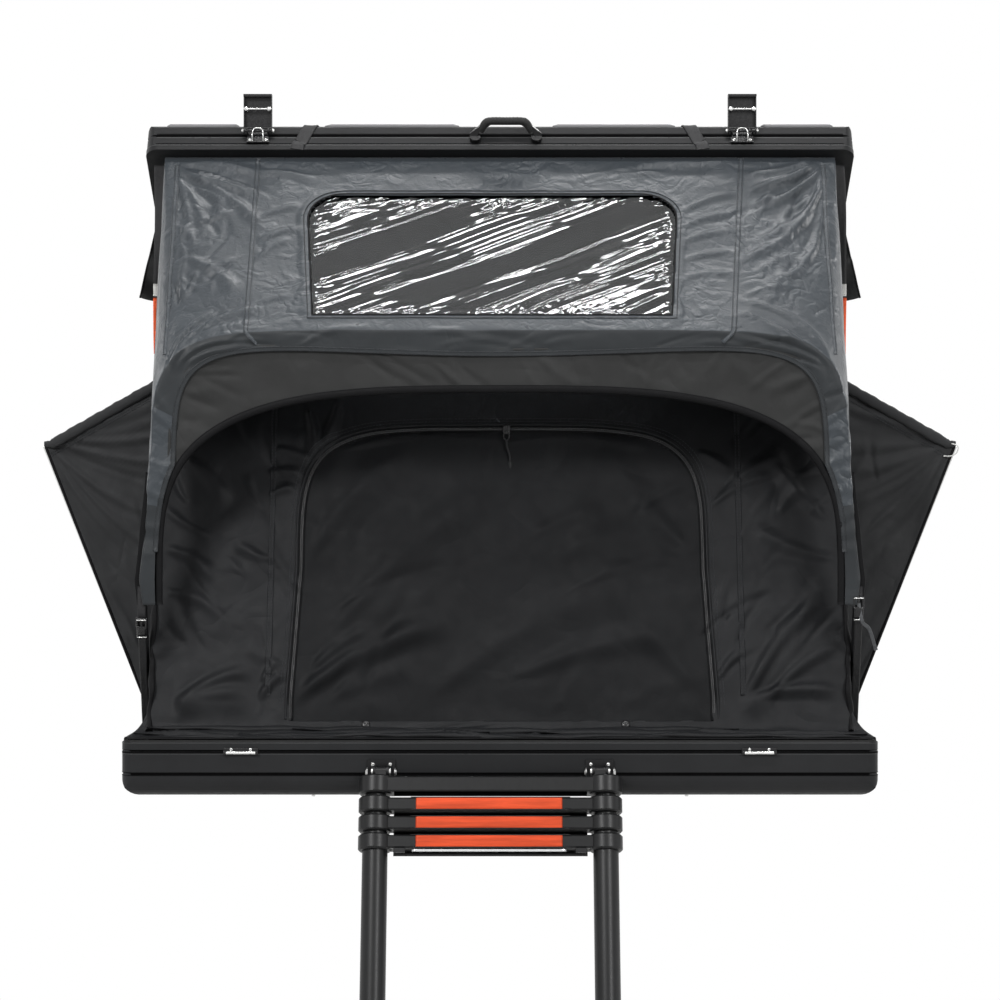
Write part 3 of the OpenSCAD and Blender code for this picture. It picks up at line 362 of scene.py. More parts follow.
def shader(name, colour, rough=(0.4, 0.55), metal=0.0, spec=0.5, vary=0.15, spots=9.0, relief=(), streak=None,
           **more):
    """relief lists (kind, size, depth, axes): a grain or crinkle of that size, or a weave or ripstop of that pitch."""
    mat = bpy.data.materials.new(name)
    mat.use_nodes = True
    tree = mat.node_tree
    bsdf = tree.nodes["Principled BSDF"]

    def add(kind, inputs=(), **props):
        node = tree.nodes.new(kind)
        for key, value in props.items():
            setattr(node, key, value)
        for key, value in dict(inputs).items():
            if isinstance(value, bpy.types.NodeSocket):
                tree.links.new(value, node.inputs[key])
            else:
                node.inputs[key].default_value = value
        return node

    def math_node(kind, a, b):
        return add("ShaderNodeMath", {0: a, 1: b}, operation=kind).outputs[0]

    place = add("ShaderNodeTexCoord").outputs["Object"]
    long = add("ShaderNodeMapping", {"Vector": place, "Scale": streak or (1, 1, 1)}).outputs[0]
    patch = add("ShaderNodeTexNoise", {"Vector": long, "Scale": spots, "Detail": 5.0, "Roughness": 0.6}).outputs[0]
    spread = add("ShaderNodeMapRange", {0: patch, 1: 0.3, 2: 0.7}).outputs[0]
    dark = [c * (1 - vary) for c in colour] + [1]
    light = [min(1, c * (1 + vary)) for c in colour] + [1]
    tint = add("ShaderNodeMix", {0: spread, 6: dark, 7: light}, data_type="RGBA").outputs[2]
    tree.links.new(tint, bsdf.inputs["Base Color"])
    fine = add("ShaderNodeTexNoise", {"Vector": long, "Scale": spots * 7, "Detail": 4.0}).outputs[0]
    gloss = add("ShaderNodeMapRange", {0: fine, 1: 0.3, 2: 0.7, 3: rough[0], 4: rough[1]}).outputs[0]
    tree.links.new(gloss, bsdf.inputs["Roughness"])
    height = None
    for kind, size, depth, *axes in relief:
        if kind == "grain":
            h = add("ShaderNodeTexNoise", {"Vector": long, "Scale": 1 / size, "Detail": 3.0}).outputs[0]
        elif kind == "crinkle":
            h = add("ShaderNodeTexNoise", {"Vector": long, "Scale": 1 / size, "Detail": 1.5, "Roughness": 0.4,
                                           "Distortion": 0.9}).outputs[0]
            h = math_node("ABSOLUTE", math_node("SUBTRACT", h, 0.5), 0.0)
            h = math_node("MULTIPLY", h, add("ShaderNodeMapRange", {0: patch, 1: 0.36, 2: 0.62}).outputs[0])
        else:
            axes = axes or ["X", "Z"]
            waves = [add("ShaderNodeTexWave", {"Vector": place, "Scale": 0.314 / size, "Distortion": 0.3,
                                               "Detail": 1.0, "Detail Scale": 0.5}, bands_direction=d).outputs["Fac"]
                     for d in axes]
            h = waves[0] if len(waves) == 1 else math_node("MAXIMUM" if kind == "weave" else "MULTIPLY", *waves)
        h = math_node("MULTIPLY", h, depth)
        height = h if height is None else math_node("ADD", height, h)
    if height is not None:
        bump = add("ShaderNodeBump", {"Height": height, "Strength": 1.0, "Distance": 1.0})
        tree.links.new(bump.outputs[0], bsdf.inputs["Normal"])
    bsdf.inputs["Metallic"].default_value = metal
    bsdf.inputs["Specular IOR Level"].default_value = spec
    for key, value in more.items():
        bsdf.inputs[key.replace("_", " ").title().replace("Ior", "IOR")].default_value = value
    return mat


POWDER = shader("satin_powder_coat", (0.0185, 0.0190, 0.0200), (0.32, 0.44), spec=0.12, vary=0.12, spots=6,
                relief=[("grain", 0.0012, 0.00004), ("grain", 0.006, 0.00005)])
# The lid's rails and skin wear the base's powder coat, made darker here as painted shade
LID_POWDER_SHADED = shader("satin_lid_coat", (0.0118, 0.0121, 0.0128), (0.30, 0.42), spec=0.13, vary=0.14, spots=6,
                    relief=[("grain", 0.0012, 0.00004), ("grain", 0.006, 0.00005)])
TRIM = shader("moulded_black_plastic", (0.0060, 0.0060, 0.0066), (0.34, 0.48), spec=0.26, spots=30,
              relief=[("grain", 0.0008, 0.00006)])
LEVER = shader("black_coated_steel", (0.0060, 0.0060, 0.0066), (0.20, 0.36), spec=0.36, spots=40,
               relief=[("grain", 0.0015, 0.00003)])
STEEL = shader("zinc_plated_steel", (0.62, 0.62, 0.61), (0.18, 0.36), metal=1.0, vary=0.12, spots=60,
               relief=[("grain", 0.0007, 0.00003)], streak=(1, 1, 4))
ALLOY = shader("bare_extruded_aluminium", (0.66, 0.67, 0.68), (0.28, 0.42), metal=1.0, vary=0.06, spots=40,
               relief=[("grain", 0.0009, 0.00004)], streak=(8, 0.4, 8))
LADDER = shader("black_anodised_tube", (0.0070, 0.0072, 0.0076), (0.30, 0.42), spec=0.26, vary=0.15, spots=25,
                relief=[("grain", 0.001, 0.00003)], streak=(6, 6, 0.5))
RUBBER = shader("black_rubber", (0.011, 0.011, 0.011), (0.62, 0.82), spec=0.3, spots=40,
                relief=[("grain", 0.0015, 0.00012)])
PLY = shader("film_faced_plywood", (0.030, 0.024, 0.020), (0.42, 0.6), spec=0.4, vary=0.3, spots=4,
             relief=[("ripstop", 0.006, 0.00012, "X", "Y")], streak=(6, 0.6, 6))
SLATE = shader("coated_slate_canvas", (0.036, 0.0422, 0.0485), (0.27, 0.40), spec=0.26, vary=0.10, spots=7,
               relief=[("weave", 0.0016, 0.00010), ("crinkle", 0.055, 0.0115), ("crinkle", 0.024, 0.0036)],
               sheen_weight=0.04)
# The same slate canvas, darker as painted shade for faces that look forward and down
SLATE_PAINTED_SHADE = shader("coated_slate_band", (0.0225, 0.0252, 0.0276), (0.34, 0.48), spec=0.18, vary=0.12, spots=8,
                    relief=[("weave", 0.0016, 0.00010), ("crinkle", 0.07, 0.0060)], sheen_weight=0.04)
# The valance is the slate canvas, darker as painted shade where it faces down and forward
SHADE = shader("charcoal_valance_canvas", (0.026, 0.0263, 0.0262), (0.50, 0.64), spec=0.13, vary=0.14, spots=8,
               relief=[("weave", 0.0017, 0.00012), ("crinkle", 0.07, 0.0060)])
WALL = shader("black_polycotton_canvas", (0.0082, 0.0086, 0.0096), (0.42, 0.56), spec=0.14, vary=0.16, spots=6,
              relief=[("weave", 0.0018, 0.00016), ("grain", 0.005, 0.00015), ("crinkle", 0.085, 0.0075)])
# The door is the wall's canvas, made darker as painted shade
DOOR_CANVAS_SHADED = shader("black_door_canvas", (0.0058, 0.0061, 0.0068), (0.44, 0.58), spec=0.10, vary=0.16, spots=6,
                    relief=[("weave", 0.0018, 0.00016), ("grain", 0.005, 0.00015), ("crinkle", 0.10, 0.0060)])
WING = shader("charcoal_polycotton_canvas", (0.0300, 0.0306, 0.0318), (0.52, 0.68), spec=0.12, vary=0.15, spots=6,
              relief=[("weave", 0.0018, 0.00014), ("grain", 0.005, 0.00015), ("crinkle", 0.10, 0.0070)])
BINDING = shader("black_binding_tape", (0.0052, 0.0052, 0.0057), (0.5, 0.65), spec=0.08, spots=40,
                 relief=[("weave", 0.0022, 0.0002)])
WEBBING = shader("black_webbing", (0.011, 0.011, 0.012), (0.5, 0.66), spec=0.28, spots=50,
                 relief=[("weave", 0.0026, 0.0004)])
ORANGE_WEB = shader("orange_webbing", (0.78, 0.105, 0.028), (0.5, 0.68), spec=0.3, vary=0.22, spots=40,
                    relief=[("weave", 0.003, 0.0005)])
LABEL = shader("orange_rung_plate", (0.57, 0.066, 0.020), (0.36, 0.55), spec=0.16, vary=0.34, spots=14,
               relief=[("grain", 0.0012, 0.00005)], streak=(0.5, 6, 6))
ZIP = shader("nylon_zip", (0.013, 0.013, 0.014), (0.28, 0.42), spec=0.5, spots=60,
             relief=[("weave", 0.0024, 0.0005)])
MESH = shader("insect_mesh", (0.016, 0.016, 0.017), (0.55, 0.75), spec=0.3, spots=20,
              relief=[("ripstop", 0.0035, 0.0009, "Y", "Z")])
TICKING = shader("mattress_ticking", (0.060, 0.063, 0.068), (0.7, 0.85), spec=0.15, vary=0.1, spots=12,
                 relief=[("weave", 0.003, 0.0004, "X", "Y"), ("grain", 0.004, 0.0002)], sheen_weight=0.15)
LINER = shader("quilted_liner_cloth", (0.030, 0.031, 0.033), (0.7, 0.85), spec=0.12, vary=0.08, spots=10,
               relief=[("weave", 0.0025, 0.0003, "X", "Y")], sheen_weight=0.12)
ELASTIC = shader("white_elastic_cord", (0.62, 0.62, 0.60), (0.55, 0.7), spec=0.3, vary=0.15, spots=90,
                 relief=[("weave", 0.0018, 0.0003)])
THREAD = shader("sewing_thread", (0.020, 0.022, 0.025), (0.5, 0.7), spec=0.3, spots=90,
                relief=[("grain", 0.0008, 0.0001)])
# The grey tint darkens what is seen through the window: painted shade of the tent's inside
FILM = shader("clear_vinyl", (0.40, 0.42, 0.43), (0.035, 0.12), spec=0.20, vary=0.02, spots=5,
              transmission_weight=1.0, ior=1.5)
STRAP_TAIL = shader("grey_webbing", (0.075, 0.078, 0.082), (0.5, 0.66), spec=0.2, spots=50,
                    relief=[("weave", 0.0026, 0.0004)])
# Near black strips in the shells' grooves and on the lid's face: painted shade
GROOVE_SHADE = shader("black_groove_bead", (0.0022, 0.0022, 0.0024), (0.7, 0.85), spec=0.06, vary=0.2, spots=30,
                relief=[("grain", 0.002, 0.00010)])
# Lighter strips beside the grooves and on the lid's lip: painted highlights
EDGE_HIGHLIGHT = shader("satin_edge_line", (0.034, 0.035, 0.036), (0.26, 0.38), spec=0.30, vary=0.2, spots=12,
              relief=[("grain", 0.001, 0.00003)])
# A pale grey strip on the lid's near edge: painted reflection
LID_EDGE_REFLECTION = shader("satin_grey_strip", (0.17, 0.17, 0.175), (0.34, 0.46), spec=0.20, vary=0.12, spots=9,
                    relief=[("grain", 0.0012, 0.00004)], streak=(0.3, 4, 4))

NODE_LOOK = [
    (POWDER, ["base_rail_near", "base_rail_far", "base_rail_left", "base_rail_right"]),
    (LID_POWDER_SHADED, ["lid_rail_near", "lid_rail_far", "lid_rail_left", "lid_rail_right", "lid_skin"]),
    (TRIM, ["grab_handle", "ladder_bracket_left", "ladder_bracket_right", "ladder_button_left", "ladder_button_right",
            "wing_sockets", "ladder_hanger"]),
    (LEVER, ["latch_lever_left", "latch_lever_right", "latch_brackets", "strut_barrel_left", "strut_barrel_right",
             "strut_base_brackets", "strut_lid_brackets", "hinge_base_leaf", "hinge_lid_leaf"]),
    (STEEL, ["mount_bolts", "latch_keepers", "ladder_pins", "hinge_pin", "strut_rod_left", "strut_rod_right",
             "wing_rod_left", "wing_rod_right"]),
    (ALLOY, ["channel_left", "channel_right"]),
    (LADDER, ["ladder_section_%d" % k for k in range(1, 8)]),
    (RUBBER, ["base_seal", "ladder_feet"]),
    (PLY, ["base_floor"]),
]
for look, names in NODE_LOOK:
    for name in names:
        nodes[name].data.materials.clear()
        nodes[name].data.materials.append(look)


# Camera, light and floor

def lamp(name, at, aim, size, watts):
    data = bpy.data.lights.new(name, "AREA")
    data.shape, data.size, data.size_y, data.energy = "RECTANGLE", size[0], size[1], watts
    obj = bpy.data.objects.new(name, data)
    bpy.context.scene.collection.objects.link(obj)
    ahead = unit(vec(*aim) - vec(*at))
    side = unit(np.cross(ahead, [0, 1, 0] if abs(ahead[2]) > 0.9 else [0, 0, 1]))
    top = np.cross(side, ahead)
    obj.matrix_world = Matrix([list(r) + [p] for r, p in zip(np.stack([side, top, -ahead], 1), at)] + [[0, 0, 0, 1]])


def studio():
    scene = bpy.context.scene
    scene.view_settings.view_transform = "Standard"
    data = bpy.data.cameras.new("camera")
    data.lens, data.sensor_width = 96.12, 36.0
    camera = bpy.data.objects.new("camera", data)
    camera.location = (0, -6.175, 0.595)
    camera.rotation_euler = (math.radians(90), 0, 0)
    scene.collection.objects.link(camera)
    scene.camera = camera
    world = bpy.data.worlds.new("studio")
    scene.world = world
    world.use_nodes = True
    tree = world.node_tree
    tree.nodes.clear()

    def node(kind, *sources):
        new = tree.nodes.new("ShaderNode" + kind)
        for k, source in enumerate(sources):
            tree.links.new(source, new.inputs[k])
        return new

    def either(a, b):
        new = node("Math", a, b)
        new.operation = "MAXIMUM"
        return new.outputs[0]

    # White where it is seen, and dimmer as a light
    path = node("LightPath").outputs
    seen = either(either(path["Is Camera Ray"], path["Is Transmission Ray"]), path["Is Glossy Ray"])
    shades = []
    for strength in (0.22, 1.0):
        shade = node("Background")
        shade.inputs["Color"].default_value = (1, 1, 1, 1)
        shade.inputs["Strength"].default_value = strength
        shades.append(shade.outputs[0])
    node("OutputWorld", node("MixShader", seen, *shades).outputs[0])
    for k, y in enumerate((-2.60, 0.40)):
        lamp("top_strip_%d" % (k + 1), (0.35, y, 5.2), (0.3, y, 0), (3.2, 0.34), 105)
    lamp("front_left_softbox", (-2.6, -5.0, 3.7), (0, -0.9, 0.5), (1.2, 0.9), 200)
    lamp("front_right_softbox", (2.9, -5.2, 2.6), (0, -0.9, 0.5), (1.2, 1.4), 110)
    lamp("back_softbox", (0.5, 4.6, 3.4), (0, 0.6, 0.4), (3.0, 1.6), 150)
    lamp("right_softbox", (4.8, 0.3, 2.3), (0, 0.1, 0.5), (1.4, 1.4), 85)
    lamp("left_softbox", (-4.8, 0.5, 2.3), (0, 0.1, 0.5), (1.4, 1.4), 60)
    turn = np.linspace(0, 2 * math.pi, 97)[:-1]
    ground, radii = np.full(96, cad_box[0][2]), (0.0005, 1.2, 2.6, 3.8)
    p = np.concatenate([np.stack([r * np.cos(turn), r * np.sin(turn), ground], -1) for r in radii])
    mesh = bpy.data.meshes.new("floor")
    mesh.from_pydata(p.tolist(), [], quads(len(radii), 96, True).tolist())
    mesh.materials.append(shader("pale_floor", (0.78, 0.78, 0.77), (0.6, 0.75), vary=0.02, spots=3,
                                 relief=[("grain", 0.01, 0.0002)]))
    floor = bpy.data.objects.new("floor", mesh)
    scene.collection.objects.link(floor)


studio()


# Awning: one sheet from the lid over the ridge and down the legs, with a valance sewn under it

RIDGE_W, RIDGE_Z, ARCH_Z = 0.668, RIM_Z + 0.789, RIM_Z + 0.307
ARCH_W, ARCH_RISE = 0.655, 0.368
ROOF_Y, FRONT_Y = -1.052, -1.0535
AWNING_LID = on_lid([[0, -HALF_L + 0.025, LID_Z - 0.0005]])[0]
SLOPE_L = math.hypot(AWNING_LID[1] - ROOF_Y, AWNING_LID[2] - RIDGE_Z)
SLOPE_A = math.atan2(AWNING_LID[2] - RIDGE_Z, AWNING_LID[1] - ROOF_Y)
SLOPE_N = vec(0, -math.sin(SLOPE_A), math.cos(SLOPE_A))
AWNING_TOP_W = 0.686
BAND = 0.048
# The ridge is a superellipse, and its legs end a few degrees under the arch's springing
RIDGE_POWER, ARCH_DIP = 8, 4.0
HOOP_Y = -1.040
WINDOW = dict(x=-0.015, low=0.041, high=0.396, w=0.346, top=0.366, r=0.075)


def superellipse(angle, a, b, power):
    c, s = np.cos(angle), np.sin(angle)
    r = ((np.abs(c) / a) ** power + (np.abs(s) / b) ** power) ** (-1 / power)
    return r * c, r * s


def arch_angles(count):
    """Angles along the arch from its right foot to its left foot, evenly spaced along the ridge."""
    a = np.radians(np.linspace(-ARCH_DIP, 180 + ARCH_DIP, 4000))
    x, z = superellipse(a, RIDGE_W, RIDGE_Z - ARCH_Z, RIDGE_POWER)
    run = np.concatenate([[0], np.cumsum(np.hypot(np.diff(x), np.diff(z)))])
    return np.interp(np.linspace(0, run[-1], count), run, a), np.linspace(run[-1] / 2, -run[-1] / 2, count)


def outer_edge(a):
    x, z = superellipse(a, RIDGE_W, RIDGE_Z - ARCH_Z, RIDGE_POWER)
    flare = 0.022 * (1 - np.abs(np.sin(a))) ** 4
    return np.stack([x + flare * np.sign(x), np.full_like(x, FRONT_Y), ARCH_Z + z], -1)


def inner_edge(a):
    x, z = superellipse(a, ARCH_W, ARCH_RISE, 3.3)
    return np.stack([x, np.full_like(x, FRONT_Y), ARCH_Z + z], -1)


def window_half(v, grow=0.0):
    """Half width of the window at a distance up the slope."""
    r, top = WINDOW["r"] + grow, WINDOW["high"] + grow
    w = grow + mix(WINDOW["w"], WINDOW["top"], np.clip((v - WINDOW["low"]) / (WINDOW["high"] - WINDOW["low"]), 0, 1))
    over = np.clip(v - (top - r), 0, r)
    return w - r + np.sqrt(r * r - over * over)


AWNING_FOLDS = [
    (0.633, 0.511, 0.484, 0.453, 0.010, 0.0042), (0.658, 0.506, 0.506, 0.417, 0.011, 0.0050),
    (0.651, 0.476, 0.503, 0.364, 0.010, 0.0046), (0.653, 0.432, 0.506, 0.257, 0.012, 0.0050),
    (0.628, 0.364, 0.463, 0.198, 0.012, 0.0040), (0.640, 0.300, 0.520, 0.130, 0.013, 0.0036),
    (0.460, 0.047, 0.572, -0.006, 0.010, 0.0040), (0.470, 0.085, 0.640, 0.012, 0.011, 0.0034),
    (0.363, 0.349, 0.470, 0.402, 0.008, 0.0034), (0.361, 0.300, 0.461, 0.340, 0.008, 0.0034),
    (0.361, 0.257, 0.460, 0.290, 0.008, 0.0030), (0.361, 0.204, 0.460, 0.228, 0.008, 0.0030),
    (0.361, 0.150, 0.455, 0.165, 0.008, 0.0026), (0.130, 0.432, 0.481, 0.506, 0.012, 0.0036),
    (0.176, 0.432, 0.328, 0.462, 0.009, 0.0026), (-0.604, 0.503, -0.480, 0.459, 0.010, 0.0040),
    (-0.610, 0.453, -0.480, 0.388, 0.010, 0.0042), (-0.614, 0.429, -0.545, 0.373, 0.008, 0.0036),
    (-0.481, 0.468, -0.364, 0.438, 0.009, 0.0032), (-0.473, 0.328, -0.394, 0.364, 0.008, 0.0034),
    (-0.470, 0.266, -0.394, 0.296, 0.008, 0.0032), (-0.473, 0.210, -0.413, 0.266, 0.008, 0.0032),
    (-0.470, 0.077, -0.402, 0.098, 0.008, 0.0028), (-0.300, 0.470, 0.250, 0.482, 0.014, 0.0022),
    (-0.420, 0.020, -0.080, 0.030, 0.012, 0.0018), (-0.620, 0.240, -0.510, 0.120, 0.012, 0.0030),
]
AWNING_FOLDS += crumple((-0.655, 0.15), (-0.545, 0.40), 30, 0.075, 0.007, 0.0026, 11)
AWNING_FOLDS += crumple((0.50, 0.06), (0.64, 0.40), 16, 0.11, 0.008, 0.0022, 12, 0.8, 0.5)
AWNING_FOLDS += fan((0.70, -0.02), (148, 196), 0.05, 0.26, 9, 0.009, 0.0036, 13)
AWNING_FOLDS += fan((-0.70, -0.02), (-16, 30), 0.05, 0.24, 8, 0.009, 0.0034, 14)
AWNING_FOLDS += fan((0.67, 0.50), (200, 262), 0.05, 0.30, 9, 0.009, 0.0030, 15)
AWNING_FOLDS += fan((-0.67, 0.50), (278, 340), 0.04, 0.26, 9, 0.009, 0.0030, 16)
LEG_FOLDS = crumple((-1.05, -0.05), (-0.70, 0.02), 14, 0.10, 0.010, 0.0022, 17, 1.3, 0.5)
LEG_FOLDS += crumple((0.70, -0.05), (1.05, 0.02), 14, 0.10, 0.010, 0.0022, 18, 1.8, 0.5)
LEG_FOLDS += crumple((-0.60, -0.05), (0.60, -0.005), 20, 0.16, 0.009, 0.0016, 19, 0.1, 0.4)


def awning_sheet():
    """The grid of the awning's roof, and each point's place on the cloth: along the ridge, and up the slope."""
    cols, up_rows, band_rows = 420, 84, 12
    a, s = arch_angles(cols)
    deg = np.degrees(a)
    # The cloth runs up to the lid behind the ridge, and hardly at all behind the legs
    reach = smooth((np.minimum(deg, 180 - deg) - 11) / 6) * 0.955 + 0.045
    low, edge = outer_edge(a), superellipse(a, RIDGE_W, RIDGE_Z - ARCH_Z, RIDGE_POWER)[0]
    low = low + vec(0, ROOF_Y - FRONT_Y, 0)
    top = np.stack([np.clip(edge / RIDGE_W, -1, 1) * AWNING_TOP_W, np.full(cols, AWNING_LID[1]),
                    np.full(cols, AWNING_LID[2])], -1)
    t = np.linspace(1, 0, up_rows)[:, None] * reach
    slope = low + (top - low) * t[..., None]
    inner = inner_edge(a)
    wide = np.linalg.norm(inner - outer_edge(a), axis=1)
    inset = np.linspace(0.004, 1, band_rows)[:, None] * np.minimum(BAND, 0.8 * wide)
    front = outer_edge(a) + (inner - outer_edge(a)) * (inset / wide)[..., None]
    grid = np.concatenate([slope, front])
    soften(grid, up_rows - 4, up_rows + 5, 3)
    v = np.concatenate([t * SLOPE_L, -inset])
    u = np.broadcast_to(s, v.shape)
    side = np.clip((np.abs(u) - 0.62) / 0.1, 0, 1)
    leg = 1.3 - 0.7 * smooth((np.abs(u) - 0.85) / 0.1)
    h = 1.9 * creases(u, v, AWNING_FOLDS) * (1 - 0.8 * side) + leg * creases(u, v, LEG_FOLDS)
    h += 0.0011 * ripple(u, v, 21, 0.15) - 0.004 * np.sin(math.pi * np.clip(v / SLOPE_L, 0, 1)) * (1 - side)
    inside = (v > WINDOW["low"] - 0.03) & (np.abs(u - WINDOW["x"]) < window_half(v, 0.02))
    h = np.where(inside, 0.25 * h, h) * smooth((SLOPE_L - v) / 0.05 + 0.15) * smooth((v + BAND) / 0.02 + 0.2)
    n = point_normals(grid.reshape(-1, 3), quads(*grid.shape[:2])).reshape(grid.shape)
    n *= np.sign((n * vec(0, -1, 0.4)).sum(-1, keepdims=True))
    grid = grid + n * h[..., None]
    grid[..., 1] -= 0.004 * smooth((np.abs(u) - 0.80) / 0.06) * smooth((0.03 - v) / 0.02)
    return grid, u, v, n


def surface_path(sheet, points, lift):
    """Follows a line, given in places on the cloth, over a sheet."""
    grid, u, v, n = sheet
    s, out = u[0], []
    for x, y in points:
        c = np.interp(x, s[::-1], np.arange(len(s))[::-1])
        c0 = min(int(c), len(s) - 2)
        at = []
        for k in (c0, c0 + 1):
            r = np.interp(y, v[::-1, k], np.arange(len(v))[::-1])
            r0 = min(int(r), len(v) - 2)
            at.append(mix(grid[r0, k] + lift * n[r0, k], grid[r0 + 1, k] + lift * n[r0 + 1, k], r - r0))
        out.append(mix(at[0], at[1], c - c0))
    return np.array(out)


def stitches(path, up, side, pitch=0.0065, r=0.0006):
    """Thread in short lengths beside a path."""
    run = float(np.linalg.norm(np.diff(path, axis=0), axis=1).sum())
    count = max(2, int(run / pitch))
    fine = resample(path, count * 3 + 1)
    ahead = unit(np.gradient(fine, axis=0))
    across = unit(np.cross(ahead, np.broadcast_to(np.asarray(up, float), fine.shape)))
    fine = fine + side * across
    return [sweep(fine[3 * k:3 * k + 3], circle(r, 5), up) for k in range(count)]


def seam(name, path, up, mat, width=0.011):
    """A felled seam: a raised tape with two rows of stitching on it."""
    sewn(name, sweep(path, strap_profile(width, 0.0016), up), mat)
    top = np.asarray(path) + 0.0011 * unit(vec(*up))
    sewn(name + "_stitching", stitches(top, up, -0.0032) + stitches(top, up, 0.0032), THREAD)


def awning_roof(sheet):
    """The slate cloth, cut out for the window, with the band on the front and the legs in a darker copy of the slate
    as painted shade.
    """
    grid, u, v, _ = sheet
    vc, uc = (v[:-1, :-1] + v[1:, 1:]) / 2, (u[:-1, :-1] + u[1:, 1:]) / 2
    cut = (vc > WINDOW["low"]) & (vc < WINDOW["high"]) & (np.abs(uc - WINDOW["x"]) < window_half(vc))
    roof = sewn("awning_roof_cloth", cloth(grid, CANVAS, cut), SLATE, "awning_roof")
    roof.data.materials.append(SLATE_PAINTED_SHADE)
    # Faces of the front band and the legs take the darker slate: painted shade
    front = (((vc < -0.001) & (np.abs(uc) < 0.74)) | (np.abs(uc) > 0.93))[~cut].reshape(-1)
    rest = len(roof.data.polygons) - 2 * len(front)
    index = np.concatenate([front, front, np.zeros(rest, bool)]).astype(np.int32)
    roof.data.polygons.foreach_set("material_index", index)


def awning_seams(sheet):
    """Seams on the slope, round the window and under the ridge."""
    for name, top, low in (("left", -0.482, -0.488), ("right", 0.481, 0.447)):
        line = [(mix(top, low, t), mix(0.505, -0.03, t)) for t in np.linspace(0, 1, 70)]
        seam("awning_seam_" + name, surface_path(sheet, line, 0.0012), SLOPE_N, SLATE)
    for name, x in (("left", -0.664), ("right", 0.664)):
        line = [(x, y) for y in np.linspace(0.49, 0.03, 60)]
        seam("awning_edge_seam_" + name, surface_path(sheet, line, 0.001), SLOPE_N, SLATE)
    low, high, x0 = WINDOW["low"], WINDOW["high"], WINDOW["x"]
    for name, grow, width, mat in (("window_hem", 0.0005, 0.0034, BINDING),
                                   ("window_outer_seam", 0.0095, 0.0015, THREAD)):
        rise = np.linspace(0, math.pi / 2, 24)
        r = WINDOW["r"] + grow
        top = high + grow
        ys = np.concatenate([np.linspace(low - grow, top - r, 40)[:-1], top - r + r * np.sin(rise)])
        right = list(zip(window_half(ys, grow), ys))
        over = [(x, top) for x in np.linspace(right[-1][0], -right[-1][0], 60)[1:-1]]
        under = [(x, low - grow) for x in np.linspace(-right[0][0], right[0][0], 80)[1:-1]]
        loop = right + over + [(-x, y) for x, y in right[::-1]] + under
        path = surface_path(sheet, [(x0 + x, y) for x, y in loop], 0.0016)
        sewn(name, sweep(path, strap_profile(width, 0.0010), SLOPE_N, ring=True), mat)
    line = [(s, -0.047) for s in np.linspace(1.02, -1.02, 260)]
    seam("ridge_seam", surface_path(sheet, line, 0.0012), (0, -1, 0.001), SLATE_PAINTED_SHADE, 0.010)


def window():
    """The clear window, creased in long facets along the direction it is rolled in."""
    low, high, x0 = WINDOW["low"], WINDOW["high"], WINDOW["x"]
    rows, cols = 190, 360
    vv = np.linspace(low - 0.006, high + 0.006, rows)[:, None]
    xx = np.linspace(-1, 1, cols)[None, :] * window_half(np.minimum(vv, high + 0.0059), 0.006)
    q, a = xx * math.cos(0.49) + vv * math.sin(0.49), -xx * math.sin(0.49) + vv * math.cos(0.49)
    a = a + 0.004 * np.sin(7 * q + 1) + 0.0016 * np.sin(19 * q + 30 * a)
    # Bands that stay flat and dark
    calm = np.zeros_like(a)
    for at, half, left, right in ((0.325, 0.034, -0.42, 0.16), (0.162, 0.029, -0.16, 0.50),
                                  (0.085, 0.014, -0.10, 0.30)):
        within = smooth((half - np.abs(a - at)) / 0.007 + 0.5)
        calm = np.maximum(calm, within * smooth((q - left) / 0.08) * smooth((right - q) / 0.08))

    def facets(seed, size, share):
        """Flat facets of random width: some tilt enough to catch a lamp, the rest stay dark."""
        r = np.random.default_rng(seed)
        at, height = [-0.30], [0.0]
        while at[-1] < 0.65:
            step = size * r.uniform(0.5, 1.6)
            tilt = r.uniform(0.15, 0.25) if r.random() < share else r.uniform(0.0, 0.10)
            tilt *= -np.sign(height[-1] + r.normal(0, 0.0006))
            at.append(at[-1] + step)
            height.append(height[-1] + step * tilt)
        return at, height

    h, total = np.zeros_like(a), np.zeros_like(a)
    for k, (size, share) in enumerate(((0.0062, 0.85), (0.0046, 0.8), (0.0085, 0.9), (0.0054, 0.9))):
        weight = np.exp(9 * np.sin((7.5 + 2 * k) * q + 2.1 * k + 9 * a))
        h += weight * np.interp(a + 0.0012 * np.sin(23 * q + k), *facets(31 + k, size, share))
        total += weight
    h /= total
    # Patches where nearly all facets catch light
    pale = smooth((0.130 - np.hypot((xx - 0.16) * 0.50, (vv - 0.075) * 1.4)) / 0.05)
    pale = np.maximum(pale, smooth((0.05 - np.hypot((xx + 0.27) * 0.6, (vv - 0.34) * 1.2)) / 0.03))
    h = mix(h, np.interp(a + 0.002 * np.sin(31 * q), *facets(47, 0.0115, 1.0)), pale)
    h *= 1 - calm
    edge = np.minimum(np.minimum(window_half(np.minimum(vv, high), 0) - np.abs(xx), vv - low), high - vv)
    near = np.exp(-np.clip(edge, 0, 1) / 0.022)
    h += near * (0.00045 * ripple(xx, vv, 33, 0.020) + 0.0003 * ripple(xx, vv, 34, 0.012))
    h = h * smooth(edge / 0.012 + 0.25) - 0.0022 - 0.004 * np.sin(math.pi * np.clip(vv / SLOPE_L, 0, 1))
    flat = np.stack([x0 + xx, ROOF_Y + math.cos(SLOPE_A) * vv + 0 * xx,
                     RIDGE_Z + math.sin(SLOPE_A) * vv + 0 * xx], -1)
    film = sewn("window_film", cloth(flat + SLOPE_N * h[..., None], 0.0008), FILM, "awning_window")


